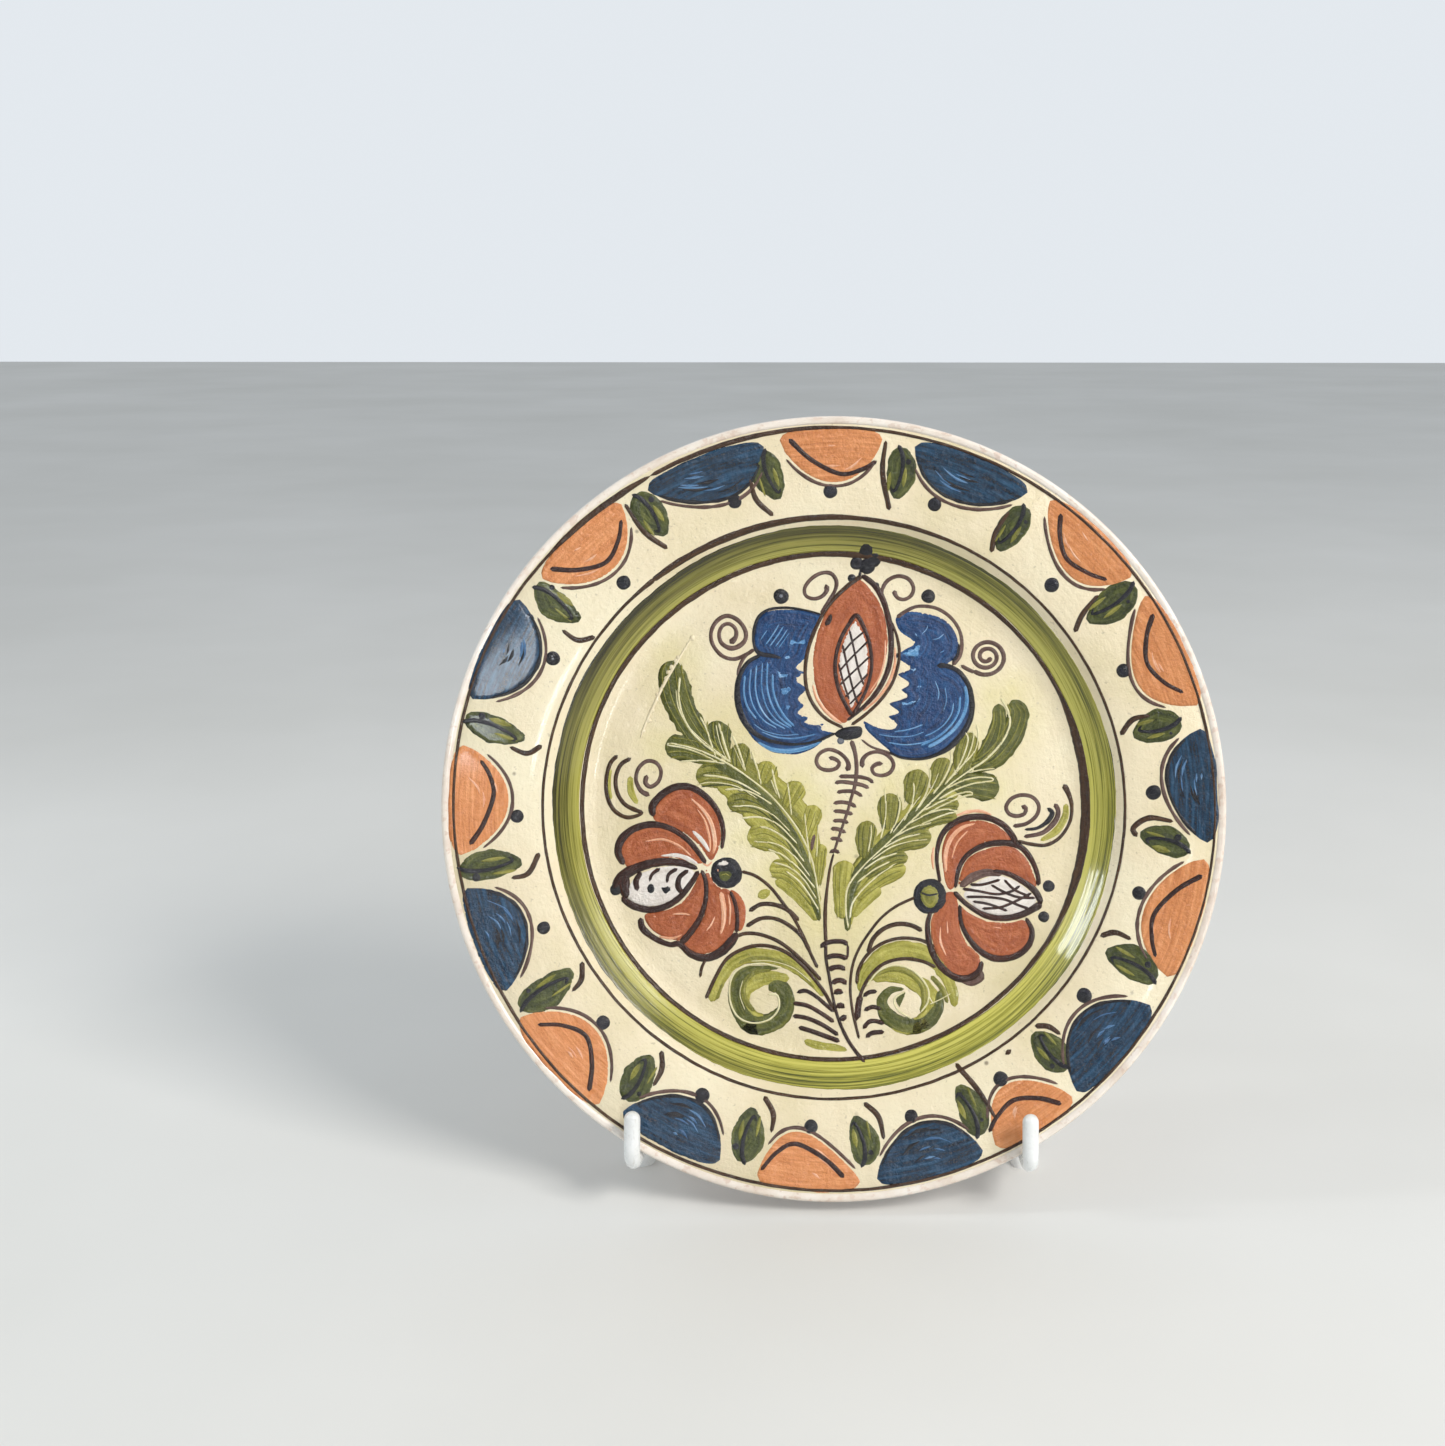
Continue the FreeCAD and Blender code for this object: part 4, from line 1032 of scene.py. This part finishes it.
# --- the right flower ---
peach.marks("""
    27.6,-17.4 27.3,-14 27.7,-11 | 0.5 0.9 0.5; 33,-2.8 37,-1.4 40.4,-1.2 43.6,-2.2 | 0.5 1 1 0.5
""", lift=0.1)
peach.marks("""
    31,-18 31,-13 32.4,-8.8 35.4,-5.8 39,-4.6 | 0.9 1.6 1.7 1.4 0.5;
    32.6,-14.4 34,-10 37,-6.6 | 0.4 0.7 0.4; 29.6,-33 29.6,-37 31.2,-41 | 0.3 0.9 0.4;
    31.4,-31.4 31.6,-35 | 0.3 0.5; 44,-33 46.4,-33.4 | 0.3 0.5
""")
orange.marks("""
    31.4,-22.4 29.8,-14 31,-8 34,-4.8 39,-3.6 44,-4.5 47.5,-7 49,-10 43,-9.6 38,-11.8 35,-15.5 33.6,-21.8;
    34.4,-21.6 36,-15.5 39.5,-12.5 45,-10.8 50,-11.3 53.5,-14.5 55.5,-19 55.6,-22 50,-20 44,-17.8 38,-18.5;
    35,-27.4 38,-29.5 43,-31.4 49,-31.6 52.5,-31 54.5,-34 54,-38 50.5,-41 46,-41.3 41.5,-39.8 38,-36.5
      35.6,-32;
    30.2,-24 33.4,-23.6 34.8,-28 34.9,-33 37,-37.5 40.5,-41 40,-44.5 36.5,-46.5 33,-46 29.5,-42.5 27.3,-37
      26.8,-32 28.4,-27.6
""")
maroon.marks("""
    29.4,-21 28.5,-14 29.6,-8.4 32.6,-4.8 37,-3 42,-2.9 46.5,-4.8 49.2,-7.8 50.2,-10.2 | 0.9 1.1 1.5 1.7
      1.8 1.8 1.7 1.7 1.9;
    33.6,-22.4 34.6,-17 37,-13.2 41.6,-10.6 47,-9.8 51.5,-11 54.6,-14.6 56.3,-19 56.4,-21.6 | 1 1.3 1.4
      1.6 1.8 1.7 1.5 1.3 1.4;
    53,-30.4 54.7,-34 53.7,-38 50,-41 45,-41.7 41,-40 37.6,-36.5 35.3,-32 34.8,-27 | 1 1.5 1.8 1.9 1.9 1.8
      1.5 1.2 1.1;
    26.8,-29 26,-33 26.9,-39 29.6,-43.8 33.4,-46.8 37,-47.2 40,-45.4 41,-42.4 | 1.1 1.4 1.8 2 2 1.9 1.8 1.3;
    44,-17.6 48,-18.3 52.4,-20.6 55.6,-23.2 57.4,-26.6 | 1.2 1.5 1.7 1.9 1.6;
    33.2,-23.4 37,-27 42,-29.9 47,-30.6 52,-29.5 57.4,-26.6 | 1.3 1.3 1.6 1.7 1.9 2
""")
maroon.marks("""
    35.6,-22.6 40,-23.2 45,-24 49,-23.2 51.4,-21.6 | 0.9; 36.6,-24.8 42,-24.8 47,-25.4 51,-27 54,-28 | 0.9;
    43.4,-21.4 47,-23.4 51,-24.8 55.6,-25 | 0.9; 41,-28 46,-27.6 50.4,-25.8 54.6,-23.6 | 0.9;
    37.6,-21.4 41,-21.4 46,-20 | 0.9; 38.4,-26 43,-26.8 48,-28.6 | 0.9; 47,-20 50,-22.8 54,-24.6 | 0.9
""", lift=0.24)
plum.marks("""
    35,-47.7 38.2,-48.5 40.8,-46.9 40.4,-44.9 | 0.8 1.5 1.7 1.2;
    35,-22 38.4,-19.4 42.4,-18 46.4,-18.6 | 1.6 2.4 2.2 1.2
""")
white.marks("""
    35.8,-24 39.4,-20.8 44.6,-18.9 50,-20.2 54.6,-23.6 55.9,-26 52,-28.9 46,-29.9 41,-28.8 37.6,-26.4
""", lift=0.16)
black.marks("26.6,-24.8,4.7,1.06", lift=0.24)
black.marks("24.2,-23.7 26.4,-24.4 28.9,-23.9 | 0.9 1.5 0.9", lift=0.42)
black.marks("59.3,-21.7,1.75; 57.9,-30.1,1.6")
olive.marks("""
    23.7,-24.4 24.6,-22.3 26.5,-21.4 28.6,-22.3 29.5,-24.6 28.8,-27 26.9,-28.3 24.8,-27.3
""", lift=0.36, grid=0.7)

# --- feather strokes and spirals at the sides ---
yellow.marks("""
    -61.6,10 -62.2,6 -61.4,1.6 | 0.8 1.4 0.8; -56.2,8 -56,4 -54.2,0.4 | 1.6 2.2 1.4;
    64,1 63.6,-3 61,-6.8 57,-9.2 | 1.6 2.2 2.2 1.2
""")
brown.marks("""
    -59.7,13.8 -61.8,11.4 -62.8,7 -62.5,2.4 -60.6,-1.4 -57.4,-3.3 -54.6,-3 -52.5,-2 | 1.1*6 1 0.8;
    -56,13 -58.8,11.2 -60.2,7.6 -59.8,3.6 -57.8,0.4 -55,-1.2 -52.5,-2 | 1.1*5 1.2 0.9;
    63.3,6.3 64.6,3.8 65.5,0.4 65,-4 62.4,-8.2 58.6,-10.4 54.4,-10.2 50.6,-9.3 | 1.8 1.4 1 0.9 0.9 1 1 0.8
""")
plum.marks("""
    -50.8,2.7 -53.2,4 -54.6,7 -53.9,10.2 -51.6,12.2 -49,11.7 -47.7,9.4 -48.4,6.6 -50.5,5.1 -52,6.2
      -51.6,8.4 | 1.3 1.2 1*6 1.1 1.2 1.4;
    49.4,-5.3 53,-4.6 55.8,-2.4 56.5,0.4 54.8,2.7 51.8,3.3 49,2.3 47.5,0 48.4,-1.9 50.6,-2.5 52.6,-1.8
      52.9,-0.3 51.7,0.3 | 1*11 1.2 1.5;
    60.8,1 61.8,-1 61,-3.8 57.6,-7 52.4,-8.2 | 1.3 1.2 1.4 1.2 0.9
""")
black.marks("58.8,-0.2 60.2,-1.6 58.8,-4 56,-5.8 52.6,-6.2 | 1.1 1.6 1.5 1 0.8")

# ---------------------------------------------------------------- the rim
# each fruit: first and last clock angle, outer and inner radius, how far its deepest point is off the middle,
# then its dot (angle, radius) and, on the orange ones, three points of its brown arc (angle, radius)
FRUITS = [
    (rim_orange, -8.5, 7.5, 101.9, 87.6, 0.06, (-0.7, 85.4), "-7,99.5 1,89.9 7,93.9"),
    (rim_blue, 12.5, 31.5, 101.6, 88.6, -0.1, (18.3, 86.2), ""),
    (rim_orange, 35.0, 52.0, 103.0, 89.0, 0.18, (44.3, 84.1), "37.5,99.5 43,91.7 50,95.5"),
    (rim_orange, 55.5, 74.0, 103.2, 88.2, 0.24, (64.5, 86.4), "58.5,100 65,92.7 71.5,98.5"),
    (rim_blue, 77.5, 95.0, 102.6, 89.4, -0.14, (87.0, 86.2), ""),
    (rim_orange, 97.5, 116.5, 102.2, 87.7, 0.1, (105.3, 85.4), "100,100 108,90.6 114.5,94.9"),
    (rim_blue, 121.5, 139.0, 101.9, 86.2, 0.0, (126.5, 84.3), ""),
    (rim_orange, 140.0, 154.0, 102.1, 87.4, 0.14, (148.0, 85.6), "142,99.5 148,91.9 154,96"),
    (rim_blue, 156.0, 173.0, 101.9, 87.4, -0.06, (165.5, 85.6), ""),
    (rim_orange, 175.5, 191.5, 102.2, 87.4, 0.31, (183.7, 85.9), "178,98.5 186,90.6 191,98.5"),
    (rim_blue, 197.5, 214.5, 101.1, 86.6, -0.12, (204.2, 85.1), ""),
    (rim_orange, 218.0, 236.0, 103.0, 87.4, 0.0, (226.7, 84.9), "220.5,99.8 227,90.4 233.5,98"),
    (rim_blue, 240.5, 257.5, 102.6, 87.9, 0.12, (247.2, 84.6), ""),
    (rim_orange, 262.5, 279.5, 102.9, 87.4, 0.0, (268.2, 85.4), "264,97.8 272,91.4 277.5,95.5"),
    (rim_blue, 286.5, 303.5, 103.2, 87.9, 0.0, (297.8, 85.7), ""),
    (rim_orange, 308.0, 325.0, 101.6, 87.4, 0.06, (316.8, 83.1), "310,99.3 317,90.1 323.5,96"),
    (rim_blue, 329.5, 349.0, 101.0, 87.7, 0.18, (342.0, 86.7), ""),
]
HAND = random.Random(7)
CORNER = 2.4


def fruit_edge(start, end, outer, inner, skew, t, grow=0.0):
    """A point on a fruit's inner edge, for t from -1 to 1; grow moves the edge outwards from the fruit."""
    warped = t - skew * (1 - t * t)
    dip = max(0.0, 1 - abs(warped) ** 2.1) ** 0.66
    middle, half = (start + end) / 2, (end - start) / 2
    side = outer - CORNER
    return polar(middle + (half + grow * 0.6) * t, side - (side - inner + grow) * dip)


for layer, start, end, outer, inner, skew, dot_at, arc in FRUITS:
    middle, half = (start + end) / 2, (end - start) / 2
    outline = [fruit_edge(start, end, outer, inner, skew, -1 + 2 * i / 36) for i in range(37)]
    for i in range(1, 24):
        t = 1 - 2 * i / 24
        wave = 0.4 * noise.noise(Vector((t * 2.5, middle, 3.0)))
        rise = (CORNER + wave) * math.sqrt(1 - abs(t) ** 5)
        outline.append(polar(middle + half * t, outer - CORNER + rise))
    layer.patch(outline, raw=True, grid=1.0, rim=True)
    streaks = rim_pale if layer is rim_blue else peach
    cluster = HAND.choice((-0.25, 0.3))
    for k in range(6 if layer is rim_blue else 3):
        t0 = cluster + HAND.uniform(-0.3, 0.3)
        reach, inset = HAND.uniform(0.16, 0.34), -HAND.uniform(2.4, 0.72 * (outer - inner))
        path = [fruit_edge(start, end, outer, inner, skew, t0 + reach * s, inset) for s in (-1, 0, 1)]
        streaks.stroke(path, [0.2, HAND.uniform(0.5, 1.1), 0.2], lift=0.19)
    for k in range(4 if layer is rim_blue else 0):
        t0, inset = HAND.uniform(-0.4, 0.4), -HAND.uniform(1.6, 0.6 * (outer - inner))
        path = [fruit_edge(start, end, outer, inner, skew, t0 + 0.3 * s, inset) for s in (-1, 0, 1)]
        black.stroke(path, [0.3, HAND.uniform(0.7, 1.5), 0.3], lift=0.2)
    if arc:
        (a0, r0), (a1, r1), (a2, r2) = points_of(arc)
        bowl = [(a0, r0), (a0 + 0.4 * (a1 - a0), r1 + 0.4 * (r0 - r1)), (a1, r1),
                (a1 + 0.6 * (a2 - a1), r1 + 0.35 * (r2 - r1)), (a2, r2)]
        maroon.stroke([polar(*spot_at) for spot_at in bowl], [1.6, 1.4, 1.35, 1.25, 1.1], lift=0.27)
    else:
        edge = [fruit_edge(start, end, outer, inner, skew, -0.9 + 1.8 * i / 14, -0.5) for i in range(15)]
        black.stroke(edge, [0.6] + [HAND.uniform(0.7, 1.3) for _ in range(13)] + [0.6], lift=0.24)
    edge = [fruit_edge(start, end, outer, inner, skew, -0.86 + 1.7 * i / 14, 0.9) for i in range(15)]
    plum.stroke(edge, [0.5] + [HAND.uniform(0.7, 1.0) for _ in range(13)] + [0.5], lift=0.22)
    black.dot(*polar(*dot_at), HAND.uniform(1.8, 2.1))

# each leaf: clock angle, outer and inner radius, then its tendril as (angle, radius) pairs
LEAVES = [
    (11, 98.4, 84.9, "8,99.4 8.2,91.2 10.5,81.8"),
    (32.5, 95.9, 82.4, "30.5,92.5 30.4,86 31.6,81.1"),
    (53.5, 100.2, 84.9, "51,91.2 52,85 53.8,80.6"),
    (76, 95.9, 83.1, "73.5,88.7 73.4,84 75.6,80"),
    (95.5, 95.9, 82.9, "92,91.2 91.6,85 93.6,81.1 95.2,82.2"),
    (117.5, 97.7, 82.9, "113.5,87.4 113.6,83 115.4,79.9"),
    (138, 93.8, 81.1, "134.6,86.2 135.2,82.6 137,80.1"),
    (155.5, 95.9, 81.9, "152,93.8 152.6,85 154.2,76.8"),
    (175, 95.9, 83.1, "171,89.9 171.4,84 173.8,80"),
    (194.5, 97.7, 83.6, "190.5,88.7 190.8,84 193.2,80.1"),
    (215.5, 95.9, 82.9, "212.6,89 213,84.2 215,80.4"),
    (237.5, 99.4, 82.9, "234.6,86 235.4,82.4 238.2,79.7"),
    (260, 101.4, 85.2, "257.4,88.7 257.6,84.2 261,80.5"),
    (283, 101.4, 85.2, "280.4,88.7 279.8,84 281.8,80.6"),
    (306.5, 99.6, 84.9, "303,87.4 303,82.6 305.4,79.3"),
    (328, 99.4, 86.2, "325.4,98.8 325.4,90 327.2,83.1"),
    (349, 97.7, 84.4, "345.6,91.2 345.8,85.6 348.2,80.6"),
]


def leaf_point(angle, outer, inner, share, across):
    """A point on a rim leaf: share runs from outer tip to inner tip, across is mm to the clockwise side."""
    r = outer + (inner - outer) * share
    return polar(angle + math.degrees(across / r), r)


for angle, outer, inner, tendril in LEAVES:
    wide = HAND.uniform(3.8, 4.8)
    bend, tilt = HAND.uniform(-1.3, 0.7), HAND.uniform(-1.8, 2.6)
    sides = []
    for sign in (1, -1):
        for k in range(14):
            share = k / 13 if sign > 0 else 1 - k / 13
            belly = math.sin(math.pi * min(1.0, 0.04 + 0.94 * share ** 0.85)) ** 0.62
            nick = 0.5 * noise.noise(Vector((share * 6, sign * 2.0, angle)))
            across = tilt * (0.5 - share) + bend * math.sin(math.pi * share) + sign * (wide + nick) * belly
            sides.append(leaf_point(angle, outer, inner, share, across))
    rim_leaf.patch(sides, raw=True, grid=0.9)
    for across, width, first in ((0.42, HAND.uniform(1.2, 2.0), 0.36), (-0.5, HAND.uniform(0.7, 1.3), 0.5)):
        path = [
            leaf_point(angle, outer, inner, first + 0.13 * k, tilt * (0.37 - 0.13 * k) + across * wide)
            for k in range(4)
        ]
        olive.stroke(path, [0.4, width, width, 0.4], lift=0.2)
    hook = HAND.choice((-1, 1))
    vein = []
    for share, across in ((-0.03, 1.2), (0.14, -0.2), (0.42, -0.7), (0.7, -0.1), (0.86, 0.9), (0.78, 1.9)):
        vein.append(leaf_point(angle, outer, inner, share, tilt * (0.5 - share) + hook * across))
    black.stroke(vein, [1.2, 1.6, 1.3, 1.1, 1.0, 0.7], lift=0.27)
    blot = leaf_point(angle, outer, inner, 0.25, tilt * 0.25 - hook * 0.5 * wide)
    black.dot(*blot, HAND.uniform(0.7, 1.3), lift=0.24)
    curl = points_of(tendril)
    brown.stroke([polar(*spot_at) for spot_at in curl], [0.9] + [1.45] * (len(curl) - 2) + [1.3])
brown.stroke([polar(143.4, 80.9), polar(144.8, 81.1)], 1.2)


# --- the ring lines and the green band ---
def ring_line(layer, radius, width, changes, wander, start=0.0, sweep=360.0):
    """A line drawn on the wheel: it wanders, and thickens over stretches of (middle, half width, factor)."""
    path, widths = [], []
    count = 420
    for i in range(count + 1):
        a = start + sweep * i / count
        rad = math.radians(a)
        r = radius + wander * noise.noise(Vector((1.6 * math.cos(rad), 1.6 * math.sin(rad), radius)))
        r += 0.08 * noise.noise(Vector((25 * math.cos(rad), 25 * math.sin(rad), radius)))
        x, v = polar(a, r)
        path.append((x, v, float(i)))
        extra = 1.0
        for centre, spread, factor in changes:
            gap = abs((a - centre + 180) % 360 - 180) / spread
            if gap < 1:
                extra += (factor - 1) * (1 - gap ** 3)
        extra *= 1 + 0.16 * noise.noise(Vector((9 * math.cos(rad), 9 * math.sin(rad), radius)))
        widths.append(width * extra)
    layer.stroke(path, widths, raw=True)


outer_line = Layer("outer_rim_line_brush", BROWN, 0.26, 21)
ring_line(outer_line, 101.9, 0.9, [(321, 9, 2.2), (345, 16, 1.5), (100, 20, 0.8)], 0.9, 331, 360)
shoulder = Layer("shoulder_line_brush", BROWN, 0.26, 22)
ring_line(shoulder, 78.7, 0.85, [(340, 24, 2.3), (10, 16, 1.5)], 0.25, 321, 361)
well = Layer("well_line_brush", BROWN, 0.26, 23)
ring_line(well, 69.4, 1.25, [(90, 26, 2.4), (330, 40, 1.3), (20, 26, 1.3)], 0.3, 66, 362)

band = Layer("green_band_brush", GREEN_BAND, 0.16, 24)
COUNT, ACROSS = 420, 15
BAND_INNER, BAND_OUTER = 69.9, 76.7
DARKEST = 312
across_values, painted_shade_values, band_rows = [], [], []
for i in range(COUNT):
    a = 360.0 * i / COUNT
    rad = math.radians(a)
    c, s = math.cos(rad), math.sin(rad)
    inner = BAND_INNER + 0.2 * noise.noise(Vector((5 * c, 5 * s, 1.0)))
    outer = BAND_OUTER + 0.35 * noise.noise(Vector((3 * c, 3 * s, 9.0)))
    outer += 0.15 * noise.noise(Vector((30 * c, 30 * s, 9.0)))
    # painted shade: darkest at the clock angle DARKEST, at the upper left, and stronger towards the band's
    # outer edge
    left = (0.5 + 0.5 * math.cos(math.radians(a - DARKEST))) ** 0.9
    row = []
    for j in range(ACROSS + 1):
        t = j / ACROSS
        r = inner + (outer - inner) * t
        ridge = noise.noise(Vector((2.2 * c, 2.2 * s, r * 1.7)))
        height = -0.04 if j in (0, ACROSS) else 0.13 + 0.09 * ridge
        row.append(len(band.verts))
        x, v = polar(a, r)
        band.put(x, v, height)
        band.flow.append((24 * c, r, 24 * s))
        across_values.append(t)
        patchy = 1.0 + 0.35 * noise.noise(Vector((2.5 * c, 2.5 * s, r * 1.6)))
        painted_shade_values.append(min(0.96, left * (0.4 + 0.62 * t) * patchy))
    row.append(len(band.verts))
    x, v = polar(a, (inner + outer) / 2)
    band.put(x, v, -0.35)
    band.flow.append((24 * c, inner, 24 * s))
    across_values.append(0.5)
    painted_shade_values.append(0.0)
    band_rows.append(row)
for a, b in zip(band_rows, band_rows[1:] + band_rows[:1]):
    for k in range(ACROSS + 2):
        m = (k + 1) % (ACROSS + 2)
        band.faces.append((a[k], b[k], b[m], a[m]))
band_piece = band.build(("green_band",))
set_value(band_piece.data, "across", across_values)
set_value(band_piece.data, "shade", painted_shade_values)
outer_line.build(("outer_rim_line",))
shoulder.build(("shoulder_line",))
well.build(("well_line",))

for layer in (
    brown, plum, maroon, black, orange, blue, pale, dark_green, olive, yellow, scratch, peach, white, grey,
    rim_orange, rim_blue, rim_leaf, rim_pale,
):
    layer.build()

# grog under the glaze: a scratched ridge at the upper left and small bumps all over
blemish = Layer("glaze_blemishes", CREAM_SLIP, 0.2, 30)
ridge = [(-39.6, 46.0), (-43.5, 39.5), (-47.0, 33.5), (-50.5, 26.0), (-52.2, 22.0), (-53.4, 18.5)]
blemish.stroke(ridge, [0.4, 0.9, 1.1, 1.0, 0.8, 0.4], lift=0.3)
for x, v, share in smooth_path(ridge, 1.5):
    if HAND.random() < 0.75:
        dx, dv, radius = HAND.uniform(-0.5, 0.5), HAND.uniform(-0.4, 0.4), HAND.uniform(0.4, 0.9)
        blemish.dot(x + dx, v + dv, radius, lift=0.4)
for _ in range(110):
    spot_r = 101.0 * math.sqrt(HAND.random())
    x, v = polar(HAND.uniform(0, 360), spot_r)
    blemish.dot(x, v, HAND.uniform(0.18, 0.42), lift=HAND.uniform(0.10, 0.2))
blemish.build()

# green bleed in the cream round the leaves
greens = [points_of(line) for _, line, _ in LOBES]
marks = np.array([p for line in greens for p in smooth_path(line, 1.5)])[:, :2]
marks = np.vstack([marks, [polar(leaf[0], (leaf[1] + leaf[2]) / 2) for leaf in LEAVES]])
spots = []
for i in range(len(slip.data.vertices)):
    co = slip.data.vertices[i].co / MM
    along_v = (co.y - AXIS_Y) * math.sin(LEAN) + (co.z - AXIS_Z) * math.cos(LEAN)
    spots.append((co.x, along_v))
spots = np.array(spots)
bleed_values = np.zeros(len(spots))
for part in np.array_split(np.arange(len(spots)), 40):
    gap = np.hypot(spots[part, :1] - marks[:, 0], spots[part, 1:] - marks[:, 1]).min(axis=1)
    bleed_values[part] = np.clip(1 - (gap - 2.0) / 9.0, 0, 1) * 0.55
set_value(slip.data, "bleed", bleed_values)

# ---------------------------------------------------------------- the easel keeps its CAD shapes
for name, node in frame["nodes"].items():
    slot = next((s["material_slot"] for s in frame["record"]["subparts"] if s["node"] == name), "")
    if slot in ("vinyl", "steel"):
        material = VINYL if slot == "vinyl" else STEEL
        if node.data.materials:
            for i in range(len(node.data.materials)):
                node.data.materials[i] = material
        else:
            node.data.materials.append(material)

# ---------------------------------------------------------------- floor, light and camera
n = Nodes("pale_floor", 0.8)
colour = n.ramp(n.noise(n.spot(), 3.0, 4.0), [(0.3, srgb(210, 210, 206)), (0.7, srgb(220, 220, 217))])
FLOOR = n.finish(colour)
FLOOR_REACH = 4
mesh = bpy.data.meshes.new("floor")
corners = [(x * FLOOR_REACH, y * FLOOR_REACH, 0) for x, y in ((-1, -1), (1, -1), (1, 1), (-1, 1))]
mesh.from_pydata(corners, [], [(0, 1, 2, 3)])
mesh.materials.append(FLOOR)
floor = bpy.data.objects.new("floor", mesh)
bpy.context.scene.collection.objects.link(floor)

world = bpy.data.worlds.new("studio")
bpy.context.scene.world = world
world.use_nodes = True
tree = world.node_tree
tree.nodes["Background"].inputs["Color"].default_value = (0.90, 0.95, 1.0, 1.0)
facing = tree.nodes.new("ShaderNodeTexCoord")
parts = tree.nodes.new("ShaderNodeSeparateXYZ")
level = tree.nodes.new("ShaderNodeMapRange")
for socket, number in (("From Min", -0.6), ("From Max", 0.5), ("To Min", 0.34), ("To Max", 0.86)):
    level.inputs[socket].default_value = number
tree.links.new(facing.outputs["Generated"], parts.inputs[0])
tree.links.new(parts.outputs["Y"], level.inputs["Value"])
tree.links.new(level.outputs["Result"], tree.nodes["Background"].inputs["Strength"])


def area_light(name, position, target, size, power, tint):
    """A soft rectangle of light, in metres and watts, that faces its target."""
    data = bpy.data.lights.new(name, "AREA")
    data.shape = "RECTANGLE"
    data.size, data.size_y = size
    data.energy = power
    data.color = tint
    lamp = bpy.data.objects.new(name, data)
    lamp.location = position
    lamp.rotation_euler = (Vector(target) - Vector(position)).to_track_quat("-Z", "Y").to_euler()
    bpy.context.scene.collection.objects.link(lamp)


data = bpy.data.cameras.new("camera")
data.sensor_fit = "HORIZONTAL"
data.sensor_width = 36.0
data.lens = 44.84
camera = bpy.data.objects.new("camera", data)
# where it stands is given by the line of sight to the plate's middle; it tilts a little less than that line
LOOK_DOWN, LOOK_ACROSS, DISTANCE = math.radians(17.2), math.radians(-0.9), 0.480
TILT = math.radians(90 - 14.48)
sight = Vector((
    math.sin(LOOK_ACROSS) * math.cos(LOOK_DOWN),
    math.cos(LOOK_ACROSS) * math.cos(LOOK_DOWN),
    -math.sin(LOOK_DOWN),
))
camera.location = place(0, 0, 0) - sight * DISTANCE
camera.rotation_euler = (TILT, 0, -LOOK_ACROSS)
data.shift_x = -0.0762
bpy.context.scene.collection.objects.link(camera)
bpy.context.scene.camera = camera


def glint(name, angle, r, distance, size, power, tint):
    """A light that the camera sees mirrored in the face, at one clock angle and radius of the plate."""
    at = place(*polar(angle, r), face_w(r))
    slope = face_w(r + 0.5) - face_w(r - 0.5)
    dx, dv = polar(angle, 1.0)
    normal = (place(-slope * dx, -slope * dv, 1.0) - place(0, 0, 0)).normalized()
    out = (camera.location - at).normalized()
    ray = 2 * normal.dot(out) * normal - out
    area_light(name, at + ray * distance, at, size, power, tint)


MIDDLE = place(0, 0, 0)
area_light("key", (0.85, -0.75, 0.95), MIDDLE, size=(0.55, 0.45), power=15.5, tint=(1.0, 0.96, 0.92))
glint("left_glare", 290, 96.0, distance=2.2, size=(0.09, 0.30), power=7.5, tint=(0.90, 0.96, 1.0))
glint("right_glare", 113, 74.7, distance=0.8, size=(0.06, 0.24), power=1.0, tint=(0.94, 0.98, 1.0))
bpy.context.scene.view_settings.view_transform = "Standard"

bpy.context.view_layer.update()
